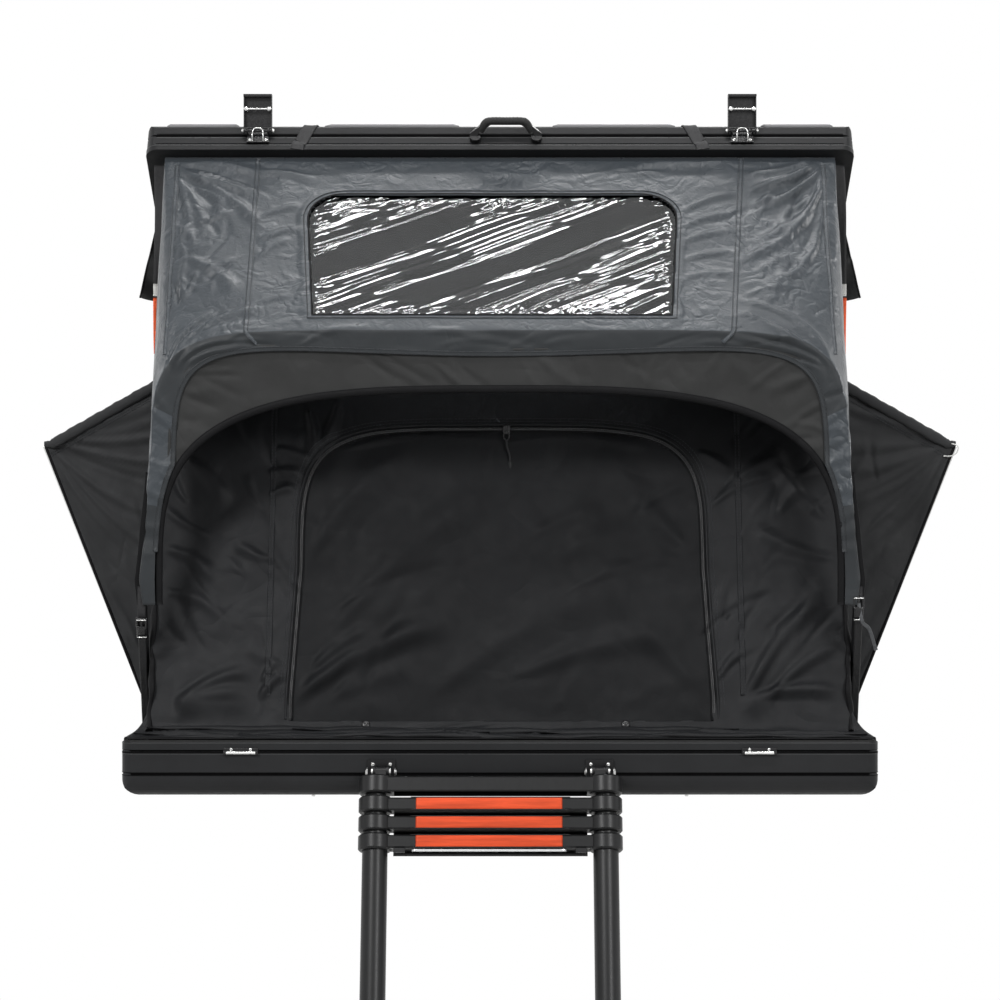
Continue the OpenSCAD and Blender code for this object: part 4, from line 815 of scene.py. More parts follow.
def valance():
    """The valance with its bound arch, and the edging of the legs."""
    cols, rows = 380, 26
    a, s = arch_angles(cols)
    outer, inner = outer_edge(a), inner_edge(a)
    wide = np.linalg.norm(inner - outer, axis=1)
    t0 = np.minimum(BAND, 0.8 * wide) / wide - 0.012 / wide
    t = t0 + (1 - t0) * np.linspace(0, 1, rows)[:, None]
    val = outer + (inner - outer) * t[..., None]
    depth = t * wide
    su = np.broadcast_to(s, depth.shape)
    folds = crumple((-0.6, 0.05), (0.6, 0.11), 26, 0.13, 0.010, 0.0026, 41, 0.9, 0.5)
    folds += crumple((-0.95, 0.03), (-0.55, 0.12), 16, 0.11, 0.011, 0.0030, 42, 1.1, 0.6)
    folds += crumple((0.55, 0.03), (0.95, 0.12), 16, 0.11, 0.011, 0.0030, 43, 2.0, 0.6)
    h = creases(su, depth, folds) + 0.0012 * ripple(su, depth, 44, 0.2)
    h = h * smooth((t - t0) * wide / 0.03) - 0.0025 * smooth((t - t0) / 0.15) + 0.003 * np.sin(7 * su + 1) * t
    val[..., 1] -= h - 0.0012
    hung = sewn("valance_cloth", cloth(val, CANVAS), SHADE, "awning_valance")
    sewn("arch_binding", sweep(resample(val[-1], 300) + vec(0, -0.001, 0), circle(0.0075, 12, 0.6), (0, -1, 0)),
         BINDING)

    # Black edging on the outer side of each leg's lower end
    taper = 0.3 + 0.7 * smooth(2.2 * np.linspace(0, 1, 60))
    ends = ((1, np.flip(outer[:44], 0)), (-1, outer[-44:]))
    sewn("leg_edging", [sweep(resample(end + vec(0.005 * side, 0.004, 0), 60), strap_profile(0.014, 0.0018),
                              (0, -1, 0), scale=taper) for side, end in ends], BINDING)


def hoop_pole():
    """The pole that holds the ridge out, and its legs."""
    foot = vec(HALF_W - 0.025, -HALF_L + 0.215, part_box("awning_hoop")[0][2] + 0.009)
    knee = vec(0.688, HOOP_Y, ARCH_Z - 0.025)
    corner = [(0.5 + 0.15 * math.cos(k), HOOP_Y, 0.757 + 0.15 * math.sin(k)) for k in np.linspace(0, math.pi / 2, 14)]
    leg = [mix(foot, knee, t) for t in (0, 0.3, 0.6, 0.85, 0.97)]
    leg += [knee + vec(-0.001, 0, 0.009), vec(0.660, HOOP_Y, 0.62)]
    half = np.concatenate([leg, corner])
    pole = np.concatenate([half, half[::-1] * vec(-1, 1, 1)])
    sewn("awning_hoop_pole", sweep(pole, circle(0.0088, 18), (0.02, -1, 0.03)), TRIM, "awning_hoop")


awning_grid = awning_sheet()
awning_roof(awning_grid)
awning_seams(awning_grid)
window()
valance()
hoop_pole()


# Door wall with its skirt, the zipped door and the zip

DOOR = dict(x=0.004, z=0.46, w=0.395, rise=0.276, power=4.5)
# Y and Z of the wall's top and sill, its half width, and the side walls' place
WALL_TOP = vec(-0.690, 1.2815)
SILL = -1.0, 0.208
WALL_HALF, SIDE_X = 0.6795, 0.6812
WALL_LEAN = (WALL_TOP[0] - SILL[0]) / (WALL_TOP[1] - SILL[1])
WALL_N = unit(vec(0, -1, WALL_LEAN))
WALL_FOLDS = [
    (-0.642, 0.192, -0.495, 0.222, 0.016, 0.0080), (-0.617, 0.211, -0.487, 0.263, 0.014, 0.0070),
    (-0.466, 0.211, -0.420, 0.262, 0.011, 0.0060), (-0.462, 0.244, -0.428, 0.283, 0.010, 0.0050),
    (-0.383, 0.775, -0.372, 0.675, 0.012, 0.0075), (-0.323, 0.790, -0.356, 0.700, 0.012, 0.0075),
    (-0.444, 0.696, -0.379, 0.672, 0.010, 0.0055), (-0.457, 0.650, -0.397, 0.648, 0.009, 0.0050),
    (-0.453, 0.606, -0.409, 0.621, 0.009, 0.0050), (-0.630, 0.680, -0.540, 0.590, 0.018, 0.0060),
    (-0.655, 0.500, -0.560, 0.445, 0.016, 0.0055), (-0.650, 0.415, -0.545, 0.375, 0.014, 0.0050),
    (0.477, 0.204, 0.655, 0.226, 0.014, 0.0085), (0.477, 0.214, 0.659, 0.432, 0.018, 0.0070),
    (0.520, 0.210, 0.668, 0.320, 0.014, 0.0060), (0.640, 0.560, 0.540, 0.690, 0.018, 0.0050),
    (0.655, 0.480, 0.500, 0.540, 0.016, 0.0045), (0.425, 0.250, 0.470, 0.300, 0.010, 0.0045),
    (-0.25, 0.800, 0.30, 0.812, 0.014, 0.0030), (0.395, 0.690, 0.455, 0.650, 0.010, 0.0045),
]
WALL_FOLDS += crumple((-0.67, 0.25), (-0.42, 0.85), 22, 0.13, 0.012, 0.0034, 51, 2.3, 0.5)
WALL_FOLDS += crumple((0.42, 0.25), (0.67, 0.85), 22, 0.13, 0.012, 0.0034, 52, 0.8, 0.5)
SKIRT_FOLDS = [(-0.70, 0.078, -0.10, 0.070, 0.0060, 0.0110), (-0.62, 0.094, 0.10, 0.090, 0.0055, 0.0100),
               (-0.25, 0.066, 0.45, 0.078, 0.0060, 0.0100), (0.05, 0.094, 0.69, 0.088, 0.0055, 0.0105),
               (0.30, 0.068, 0.70, 0.076, 0.0055, 0.0110), (-0.68, 0.060, -0.42, 0.064, 0.0060, 0.0070)]
SKIRT_FOLDS += crumple((-0.62, 0.058), (0.62, 0.100), 22, 0.30, 0.0050, 0.0050, 53, 0.0, 0.05)
PANEL_FOLDS = [
    (-0.394, 0.215, -0.100, 0.360, 0.026, 0.0095), (-0.365, 0.268, -0.250, 0.345, 0.016, 0.0050),
    (-0.330, 0.330, 0.020, 0.640, 0.034, 0.0050), (-0.380, 0.480, -0.190, 0.690, 0.026, 0.0045),
    (-0.120, 0.230, 0.240, 0.420, 0.036, 0.0045), (0.050, 0.260, 0.360, 0.330, 0.026, 0.0050),
    (0.380, 0.240, 0.160, 0.560, 0.034, 0.0040), (0.370, 0.500, 0.220, 0.690, 0.028, 0.0040),
    (-0.30, 0.700, 0.02, 0.715, 0.012, 0.0030), (0.02, 0.712, 0.30, 0.700, 0.012, 0.0030),
]
PANEL_FOLDS += crumple((-0.36, 0.22), (0.36, 0.62), 16, 0.26, 0.022, 0.0026, 54, 0.75, 0.5)


def wall_y(z):
    return SILL[0] + (z - SILL[1]) * WALL_LEAN


def door_half(z, grow=0.0):
    """Half width of the zipped door at a height."""
    up = np.clip((z - DOOR["z"]) / (DOOR["rise"] + grow), 0, 1)
    low = DOOR["w"] + grow + 0.015 * np.clip((DOOR["z"] - z) / 0.25, 0, 1)
    return np.where(z > DOOR["z"], (DOOR["w"] + grow) * (1 - up ** DOOR["power"]) ** (1 / DOOR["power"]), low)


def wall_height(x, z):
    """How far the wall's folds stand off its plane."""
    h = 1.4 * creases(x, z, WALL_FOLDS) + 0.0022 * ripple(x, z, 55, 0.30) + 0.0010 * ripple(x, z, 56, 0.10)
    return h * smooth((0.681 - np.abs(x)) / 0.05 + 0.1) * smooth((1.28 - z) / 0.06)


def wall_point(x, z, lift=0.0):
    x, z = np.asarray(x, float), np.asarray(z, float)
    flat = np.stack([x, wall_y(z), z], -1)
    return flat + WALL_N * (wall_height(x, z) + lift)[..., None]


def door_outline(grow=0.0, count=260):
    low = [(DOOR["x"] - door_half(z, grow), z) for z in np.linspace(0.170, DOOR["z"], 70)]
    a = np.radians(np.linspace(180, 0, 160)[1:-1])
    x, z = superellipse(a, DOOR["w"] + grow, DOOR["rise"] + grow, DOOR["power"])
    path = low + list(zip(DOOR["x"] + x, DOOR["z"] + z)) + [(2 * DOOR["x"] - p, q) for p, q in low[::-1]]
    return resample(np.array([(float(p), float(q)) for p, q in path]), count)


def door_wall():
    """The wall and its skirt as one cloth. Returns the skirt's points and normals, and its course in Y and Z."""
    rows, cols = 250, 330
    fx = np.linspace(-1, 1, cols)[None, :]
    z = np.linspace(WALL_TOP[1], SILL[1], rows)[:, None]
    half = mix(WALL_HALF, 0.6792, np.clip((z - SILL[1]) / 1.07, 0, 1))
    wall = wall_point(fx * half, z + 0 * fx)
    # The skirt hangs on down, then turns out over the rim and bunches there
    t = np.linspace(0, 1, 46)[1:, None]
    drop = spline([SILL, (-1.0095, 0.178), (-1.018, 0.158), (-1.030, 0.1475), (-1.047, 0.1415),
                   (-1.0665, 0.1385)], 46)
    xs = fx * mix(WALL_HALF, 0.719, smooth(t * 1.1 - 0.1))
    ahead = np.gradient(drop, axis=0)
    n = unit(np.stack([0 * ahead[:, 0], ahead[:, 1], -ahead[:, 0]], -1))[1:, None]
    run = t * 0.112
    h = wall_height(fx * WALL_HALF, np.full((1, cols), SILL[1])) * (1 - smooth(t * 2.0))
    bunch = creases(xs, run + 0 * xs, SKIRT_FOLDS) * smooth(t * 3 - 0.4) * smooth((1 - t) * 6 + 0.1)
    h = h + bunch * smooth((0.71 - np.abs(xs)) / 0.04)
    h = h + 0.0016 * ripple(xs, run + 0 * xs, 57, 0.11) * smooth(t * 3) * smooth((1 - t) * 4)
    skirt = np.stack([xs, drop[1:, :1] + 0 * xs, drop[1:, 1:] + 0 * xs], -1)
    skirt = skirt + n * np.clip(h, -0.003, 0.013)[..., None]
    grid = np.concatenate([wall, skirt])
    soften(grid, rows - 4, rows + 12, 4)
    zc, xc = (grid[:-1, :-1, 2] + grid[1:, 1:, 2]) / 2, (grid[:-1, :-1, 0] + grid[1:, 1:, 0]) / 2
    cut = (zc > 0.168) & (zc < DOOR["z"] + DOOR["rise"]) & (np.abs(xc - DOOR["x"]) < door_half(zc, -0.003))
    main = sewn("door_wall_cloth", cloth(grid, HEAVY_CANVAS, cut), WALL, "door_wall")
    return skirt, n, drop


def door_panel():
    """The zipped door, a little behind the wall."""
    z = np.linspace(DOOR["z"] + DOOR["rise"] + 0.004, 0.156, 186)[:, None]
    half = np.maximum(door_half(np.minimum(z, DOOR["z"] + DOOR["rise"] - 0.0002)), 0.06) + 0.006
    x = DOOR["x"] + np.linspace(-1, 1, 250)[None, :] * half
    edge = np.minimum(np.minimum(half - np.abs(x - DOOR["x"]), z - 0.154), DOOR["z"] + DOOR["rise"] + 0.004 - z)
    zz = z + 0 * x
    h = 1.3 * creases(x, zz, PANEL_FOLDS) + 0.0022 * ripple(x, zz, 58, 0.34) + 0.0008 * ripple(x, zz, 59, 0.12)
    h = h * smooth(edge / 0.05) + wall_height(x, zz) * smooth(1 - edge / 0.05) - 0.0030
    panel_grid = np.stack([x, wall_y(zz), zz], -1) + WALL_N * h[..., None]
    # The door's cloth is darker than the wall's as painted shade
    panel = sewn("door_panel_cloth", cloth(panel_grid, CANVAS), DOOR_CANVAS_SHADED, "door_panel")


def door_zip():
    """A tape, the two rows of coil and a welt outside them, with the slider and its cord pull."""
    line = door_outline()
    tape = wall_point(line[:, 0], line[:, 1], 0.0010)
    sewn("zip_tape", sweep(tape, strap_profile(0.010, 0.0010), WALL_N), BINDING)
    coil = []
    for side in (-0.0015, 0.0015):
        p = door_outline(side, 900)
        q = wall_point(p[:, 0], p[:, 1], 0.0022)
        coil.append(sweep(q, circle(0.0014, 8), WALL_N, scale=1 + 0.22 * np.cos(np.arange(900) * math.pi)))
    sewn("zip_coil", coil, ZIP)
    welt = door_outline(0.0085, 320)
    q = wall_point(welt[:, 0], welt[:, 1], 0.0022)
    sewn("door_welt", sweep(q, circle(0.0026, 10), WALL_N), WALL)
    rows = [s for g in (0.015, 0.021) for s in stitches(wall_point(*door_outline(g, 320).T, 0.0010), WALL_N, 0.0)]
    sewn("door_stitching", rows, THREAD)

    # Slider and its cord pull at the top of the arch
    at = wall_point(0.013, DOOR["z"] + DOOR["rise"] - 0.002, 0.0052)
    slider = [block(at, (0.0075, 0.0034, 0.0095), 0.0026),
              block(at + vec(0, -0.0045, 0.002), (0.0022, 0.0022, 0.0075), 0.0016),
              sweep(at + vec(0, -0.0066, 0) + [(0.0055 * math.sin(k), 0, -0.012 + 0.010 * math.cos(k))
                                               for k in np.linspace(0, 2 * math.pi, 25)[:-1]],
                    circle(0.0013, 8), (0, -1, 0), ring=True)]
    sewn("zip_slider", slider, LEVER)
    hang = spline([at + vec(0, -0.0066, -0.021), at + vec(0.001, -0.0085, -0.034), at + vec(0.006, -0.008, -0.052),
                   at + vec(0.007, -0.0075, -0.068)], 50)
    pull = sewn("zip_pull", sweep(hang, circle(0.0021, 10), (0, -1, 0)), WEBBING)
    sewn("zip_pull_end", lathe(hang[-1] + vec(0, 0, 0.003), hang[-4] - hang[-1],
                               [(0.0006, -0.015), (0.0034, -0.014), (0.0042, -0.010), (0.0036, -0.002),
                                (0.0024, 0.003)], 16), TRIM)


def skirt_work(skirt, n, drop):
    """Panel seams beside the door, and the skirt's studs, hem, rolls with painted shade under them, and gathered
    edges.
    """
    for name, x in (("left", -0.450), ("right", 0.472)):
        z = np.linspace(1.24, 0.215, 150)
        seam("wall_seam_" + name, wall_point(np.full(150, x), z, 0.0012), WALL_N, WALL, 0.012)
    studs = []
    for x in (-0.262, 0.250):
        c = int((x / 0.705 + 1) / 2 * (skirt.shape[1] - 1))
        studs.append(lathe(skirt[20, c] + n[20, 0] * 0.0010, n[20, 0],
                           [(0.0085, -0.002), (0.0085, 0.0014), (0.0070, 0.0030), (0.003, 0.0038), (0.0003, 0.0036)]))
    sewn("skirt_studs", studs, LEVER)
    hem = resample(skirt[-1], 260)
    sewn("skirt_hem", sweep(hem + vec(0, 0.002, 0.0008), strap_profile(0.012, 0.0022), (0, -0.2, 1)), BINDING)
    # Rolls of slack cloth along the rim, with a thin black cord under each as painted shade in the crease
    rolls, crease_shade = [], []
    for x0, x1, y, z, w, seed in (
            (-0.705, -0.02, -1.0445, 0.1475, 0.0085, 1), (-0.40, 0.46, -1.0335, 0.1520, 0.0075, 2),
            (0.06, 0.705, -1.0455, 0.1470, 0.0085, 3), (-0.69, 0.25, -1.0560, 0.1425, 0.0070, 4),
            (-0.10, 0.69, -1.0575, 0.1420, 0.0065, 5), (-0.68, -0.30, -1.0300, 0.1560, 0.0070, 6)):
        k = np.linspace(0, 1, 130)
        x = mix(x0, x1, k)
        path = np.stack([x, y + 0.0020 * np.sin(9 * x + seed) + 0.0010 * np.sin(31 * x + 2 * seed),
                         z + 0.0022 * np.sin(7 * x + 2.3 * seed) + 0.0007 * np.sin(41 * x)], -1)
        swell = 0.25 + 0.75 * smooth(k * 7) * smooth((1 - k) * 7)
        swell = swell * (1 + 0.18 * np.sin(23 * x + seed) + 0.1 * np.sin(57 * x))
        rolls.append(sweep(path, [(w * c, 0.62 * w * s) for c, s in circle(1.0, 14)], (0, -0.6, 1), scale=swell))
        below = path + (w * swell)[:, None] * vec(0, -0.857, -0.514) + vec(0, -0.0009, 0.0015)
        crease_shade.append(sweep(below, circle(0.0017, 8), (0, -0.6, 1), scale=np.clip(swell, 0.3, 1)))
    sewn("skirt_rolls", rolls, WALL)
    sewn("skirt_creases", crease_shade, BINDING)
    # Gathered edges beside the hoop's legs
    for name, side in (("left", -1), ("right", 1)):
        z = np.linspace(0.640, 0.150, 170)
        wave = 0.0035 * np.sin(46 * z) + 0.002 * np.sin(103 * z + 1)
        y = np.interp(z, drop[::-1, 1], drop[::-1, 0]) * (z < SILL[1]) + wall_y(z) * (z >= SILL[1])
        path = np.stack([side * (0.6765 + 0.5 * wave), y - 0.004 + wave, z], -1)
        swell = 1 + 0.25 * np.sin(61 * z + side) + 0.15 * np.sin(140 * z)
        sewn("wall_edge_" + name, sweep(path, circle(0.0052, 12, 0.8), (0, -1, 0.02), scale=swell), BINDING)


skirt_course = door_wall()
door_panel()
door_zip()
skirt_work(*skirt_course)


# Side walls, each with a mesh window under its hood

REAR = on_lid([[0, IN_L - 0.012, LID_Z - 0.0012]])[0]
FRONT_EDGE = [vec(-0.996, SILL[1]), WALL_TOP + vec(0, -0.0005), REAR[1:]]
HOOD = dict(low=vec(0.6826, -0.7043, 0.185), low_out=vec(0.727, -0.7043, 0.185), top=vec(0.6826, -0.7043, 0.853),
            tip=vec(0.933, -0.7043, 0.711), back=vec(0.6826, -0.140, 0.483), back_out=vec(0.6966, -0.146, 0.485))


def side_height(y, z, seed):
    folds = fan((-0.95, 0.16), (14, 70), 0.08, 0.7, 8, 0.016, 0.004, seed)
    folds += fan((-0.70, 1.25), (262, 318), 0.08, 0.6, 7, 0.016, 0.004, seed + 1)
    folds += crumple((-0.6, 0.2), (0.7, 0.7), 22, 0.24, 0.018, 0.0034, seed + 2, 0.7, 0.7)
    folds += crumple((-0.9, 0.13), (0.95, 0.17), 22, 0.22, 0.010, 0.0035, seed + 3, 0.0, 0.12)
    return creases(y, z, folds) + 0.0016 * ripple(y, z, seed + 4, 0.3)


def side_wall(name, side, seed):
    cols, rows = 260, 130
    top = resample(np.array(FRONT_EDGE), cols)
    t = np.linspace(1, 0, rows)[:, None]
    y = np.broadcast_to(top[None, :, 0], (rows, cols))
    low = 0.1155
    z = low + (top[None, :, 1] - low) * t
    edge = np.minimum((top[None, :, 1] - low) * np.minimum(t, 1 - t), np.minimum(y + 0.996, 1.0284 - y))
    inward = np.clip(0.0035 - side_height(y, z, seed), 0.0, 0.0095) * smooth(edge / 0.05)
    grid = np.stack([side * (SIDE_X - inward), y, z], -1)
    grid = grid if side > 0 else grid[:, ::-1]
    obj = sewn("side_wall_cloth_" + name, cloth(grid, CANVAS), WALL, "side_wall_" + name)

    def at(y, z, lift):
        y, z = np.asarray(y, float), np.asarray(z, float)
        inward = np.clip(0.0035 - side_height(y, z, seed), 0.0, 0.0095)
        return np.stack([side * (SIDE_X - inward + lift), y, z], -1)

    up = (side, 0, 0.001)
    # Mesh window: a panel with bound edges
    corners = np.array([(-0.665, 0.235), (-0.255, 0.235), (-0.255, 0.500), (-0.665, 0.780)])
    loop = []
    for k in range(4):
        a, b, c = corners[k - 1], corners[k], corners[(k + 1) % 4]
        loop += [mix(mix(b + 0.045 * unit(a - b), b, s), mix(b, b + 0.045 * unit(c - b), s), s)
                 for s in np.linspace(0, 1, 10)]
    ring = resample(np.array(loop + loop[:1]), 201)[:-1]
    middle = ring.mean(0)
    s = np.linspace(0.02, 0.985, 26)[:, None, None]
    net = middle + (ring[None] - middle) * s
    net = np.concatenate([net, net[:, :1]], 1)
    net = at(net[..., 0], net[..., 1], 0.0012)
    mesh = sewn("side_window_" + name, cloth(net if side > 0 else net[:, ::-1], 0.0007), MESH)
    sewn("side_window_binding_" + name,
         sweep(at(ring[:, 0], ring[:, 1], 0.0014), strap_profile(0.016, 0.0018), up, ring=True), BINDING)
    # Seams: down the middle of the wall, beside the rear corner and along the foot
    for k, y0 in enumerate((-0.06, 0.52)):
        z1 = float(np.interp(y0, top[:, 0], top[:, 1])) - 0.02
        z = np.linspace(z1, 0.122, 90)
        seam("side_seam_%s_%d" % (name, k + 1), at(np.full(90, y0), z, 0.0011), up, WALL, 0.012)
    y = np.linspace(-0.98, 0.99, 200)
    sewn("side_hem_" + name, sweep(at(y, np.full(200, 0.1225), 0.0008), strap_profile(0.012, 0.002), up), BINDING)


side_wall("left", -1, 61)
side_wall("right", 1, 71)


# Wings: hoods that the sprung rods hold out over the side windows

def hood(name, side, seed):
    low, low_out, top, tip = HOOD["low"], HOOD["low_out"], HOOD["top"], HOOD["tip"]
    back, back_out = HOOD["back"], HOOD["back_out"]
    cols, cheek_rows, top_rows = 90, 96, 90
    u = np.linspace(0, 1, cols)[None, :, None]
    t = np.linspace(0, 1, cheek_rows)[:, None, None]
    cheek = mix(mix(low, top, t), mix(low_out, tip, t), u)
    t = np.linspace(0, 1, top_rows)[1:, None, None]
    roof = mix(mix(top, back, t), mix(tip, back_out, t), u)
    # Folds pulled from the tip, with slack along the wall
    x, z = cheek[..., 0], cheek[..., 2]
    folds = fan((0.945, 0.715), (158, 244), 0.05, 0.40, 11, 0.011, 0.0060, seed)
    folds += fan((0.69, 0.18), (58, 92), 0.05, 0.42, 5, 0.012, 0.0045, seed + 1)
    folds += crumple((0.69, 0.25), (0.80, 0.75), 9, 0.12, 0.011, 0.0030, seed + 2, 1.2, 0.6)
    edge = np.minimum(np.minimum(u[..., 0] * 0.25, (1 - u[..., 0]) * 0.30),
                      np.linspace(0, 1, cheek_rows)[:, None] * 0.6)
    h = (creases(x, z, folds) + 0.0018 * ripple(x, z, seed + 3, 0.16)) * smooth(edge / 0.025)
    cheek[..., 1] -= np.clip(h, -0.006, 0.012)
    w, v = roof[..., 0], np.linspace(0, 0.7, top_rows)[1:, None] + 0 * roof[..., 0]
    folds = fan((0.93, 0.0), (100, 172), 0.05, 0.45, 7, 0.013, 0.0050, seed + 4)
    folds += crumple((0.69, 0.1), (0.82, 0.5), 8, 0.14, 0.012, 0.0030, seed + 5, 1.5, 0.6)
    h = (creases(w, v, folds) + 0.0016 * ripple(w, v, seed + 6, 0.16)) * smooth(u[..., 0] / 0.12) * smooth(v / 0.05)
    sag = 0.010 * np.sin(math.pi * np.clip(v / 0.7, 0, 1)) * np.sin(math.pi * u[..., 0])
    roof[..., 2] += np.clip(h, -0.006, 0.010) - sag
    grid = np.concatenate([cheek, roof])
    soften(grid, cheek_rows - 5, cheek_rows + 4, 3)
    grid = grid * vec(side, 1, 1)
    out = unit(vec(0.93 * side, 0, -0.37))
    fold = (tuple(out), tuple(vec(side * 0.6826, 0, 0.185) + 0.017 * out), 0.03)
    grid = grid[:, ::-1] if side > 0 else grid

    def on_wing(part, parts, mat, node=None):
        return piece(part + "_" + name, parts, mat, "wing_" + name, node, close=fold)

    obj = on_wing("wing_cloth", cloth(grid, 0.0015), WING, "wing_hood_" + name)
    # A pole pocket along the fold, gathered at the tip, with its row of stitching, and binding on the free edge
    outer = cols - 1 if side < 0 else 0
    k = np.linspace(0, 1, 70)
    edge = np.stack([mix(top, tip, s) for s in k]) * vec(side, 1, 1)
    edge[:, 1] -= 0.002
    wrinkle = 1 + 0.05 * np.sin(37 * k + seed) + 0.04 * np.sin(83 * k)
    wrinkle = wrinkle + 0.10 * smooth((k - 0.86) / 0.1) * np.sin(150 * k)
    pocket = edge + vec(0, -0.004, -0.011) * smooth(k * 12)[:, None] * smooth((1 - k) * 9 + 0.25)[:, None]
    profile = [(0.0, 0.0055), (0.008, 0.0048), (0.013, 0.002), (0.0150, -0.002), (0.008, -0.0046), (0.0, -0.0050),
               (-0.008, -0.0046), (-0.0150, -0.002), (-0.013, 0.002), (-0.008, 0.0048)]
    gather = wrinkle * (0.42 + 0.30 * smooth((1 - k) * 8))
    on_wing("wing_pocket", sweep(pocket, profile, (0, -1, 0.02), scale=gather), WING)
    r = int(0.952 * (cheek_rows - 1))
    c = (np.linspace(0.01, 0.99, 70) * (cols - 1)).astype(int)
    c = c if side < 0 else cols - 1 - c
    line = resample(grid[r, c] + vec(0, -0.0016, 0), 90)
    on_wing("wing_stitching", stitches(line, (0, -1, 0.01), 0.0) + stitches(line, (0, -1, 0.01), 0.005), THREAD)
    rim = resample(grid[:, outer], 220)
    on_wing("wing_binding", sweep(rim, circle(0.0036, 10, 0.6), (0, -0.7, 0.7)), BINDING)
    # Shock cord at the tip: out of the pocket, round in a small loop and back
    if side > 0:
        at = tip * vec(side, 1, 1) + vec(-0.004, -0.006, -0.006)
        loop = spline([at + vec(*d) for d in (
            (-0.016, 0.002, 0.006), (0.001, -0.001, 0.004), (0.0085, -0.002, -0.002), (0.0045, -0.002, -0.014),
            (-0.007, -0.002, -0.020), (-0.021, 0.001, -0.020))], 60)
        cord = on_wing("wing_cord", sweep(loop, circle(0.0013, 10), (0, -1, 0.03)), ELASTIC)


hood("left", -1, 81)
hood("right", 1, 91)


# Straps, buckles and flaps

def tension_straps():
    black, orange, white = [], [], []
    low, high = 0.856, 1.2825
    for side in (-1, 1):
        t = np.linspace(0, 1, 120)
        z = mix(low, high, t)
        bow = 0.006 * np.sin(math.pi * t) + 0.0015 * np.sin(9 * t + side)
        path = np.stack([side * (0.6965 + 0.3 * bow), -0.6890 - 0.25 * bow, z], -1)
        turn = 0.35 * np.sin(2.2 * math.pi * t + 0.6 * side)
        up = np.stack([np.sin(turn), -np.cos(turn), 0 * t], -1)
        black.append(sweep(path, strap_profile(0.026, 0.0016), up))
        # An orange sleeve with a white cuff above and below it, each sewn across at its ends
        for part, a, b, w, h in ((orange, 0.893, 1.012, 0.0285, 0.0034), (white, 1.012, 1.040, 0.0275, 0.0030),
                                 (white, 0.866, 0.893, 0.0275, 0.0030)):
            pick = (z > a) & (z < b)
            part.append(sweep(path[pick], strap_profile(w, h), up[pick]))
            for k in np.where(pick)[0][[1, -2]]:
                part.append(sweep([path[k] + up[k] * 0.0018 + vec(x, 0, 0) for x in np.linspace(-0.011, 0.011, 12)],
                                  circle(0.0007, 6), up[k]))
    sewn("tension_webbing", black, WEBBING, "tension_straps")
    sewn("tension_sleeves", orange, ORANGE_WEB)
    sewn("tension_cuffs", white, ELASTIC)


def buckle(at, ahead, up):
    """A side-release buckle: a body, two prongs, a bar and a ladder end."""
    ahead, up = unit(vec(*ahead)), unit(vec(*up))
    side = np.cross(up, ahead)
    axes = np.stack([side, ahead, up])

    def spot(x, y, z=0.0):
        return vec(*at) + x * side + y * ahead + z * up

    return [block(spot(0, 0.006), (0.0095, 0.0105, 0.0040), 0.0024, axes),
            block(spot(0, 0.006, 0.0036), (0.0075, 0.0080, 0.0018), 0.0014, axes),
            block(spot(-0.0085, -0.011), (0.0022, 0.0095, 0.0030), 0.0014, axes),
            block(spot(0.0085, -0.011), (0.0022, 0.0095, 0.0030), 0.0014, axes),
            block(spot(0, -0.010), (0.0024, 0.0080, 0.0024), 0.0012, axes),
            block(spot(0, -0.021), (0.0105, 0.0028, 0.0032), 0.0016, axes),
            block(spot(0, 0.0205), (0.0100, 0.0025, 0.0030), 0.0014, axes)]


def leg_straps():
    straps, tails, buckles, bars = [], [], [], []
    for side, z0 in ((-1, 0.352), (1, 0.386)):
        line = spline([(0.6885, -1.0500, 0.430), (0.6875, -1.0530, 0.400), (0.6885, -1.0440, 0.360),
                       (0.6930, -0.995, 0.300), (0.6985, -0.925, 0.215), (0.7010, -0.886, 0.150),
                       (0.7010, -0.872, 0.1395)], 130) * vec(side, 1, 1)
        n = unit(np.gradient(line, axis=0))
        up = unit(np.cross(n, np.broadcast_to(vec(1, 0, 0), n.shape)))
        up *= np.sign(-up[:, 1:2] + 1e-6)
        straps.append(sweep(line, strap_profile(0.015, 0.0016), up))
        k = int(np.argmin(np.abs(line[:, 2] - z0)))
        buckles += buckle(line[k] + up[k] * 0.003, n[k], up[k])
        for e in (-0.021, 0.0205):
            c = line[k] + n[k] * e + up[k] * 0.0066
            bars.append(sweep([c + vec(x, 0, 0) for x in np.linspace(-0.0095, 0.0095, 9)], circle(0.0011, 8), up[k]))
        # Only the right strap has a loose tail
        if side < 0:
            continue
        tail = spline([line[k] - n[k] * 0.012 + up[k] * 0.0050, line[k] + n[k] * 0.02 + vec(0.006, -0.008, -0.004),
                       line[k] + vec(0.022, 0.006, -0.040), line[k] + vec(0.036, 0.018, -0.080)], 60)
        tails.append(sweep(tail, strap_profile(0.0070, 0.0012), (-0.4, -1, 0.3)))
        tip = unit(tail[-1] - tail[-3])
        end = [tail[-1] + tip * d for d in np.linspace(-0.006, 0.0005, 6)]
        tails.append(sweep(end, strap_profile(0.0080, 0.0024), (-0.4, -1, 0.3)))
    sewn("leg_straps", straps, WEBBING)
    sewn("leg_strap_tails", tails, STRAP_TAIL)
    sewn("leg_buckles", buckles, LEVER)
    sewn("leg_buckle_bars", bars, STEEL)


tension_straps()
leg_straps()


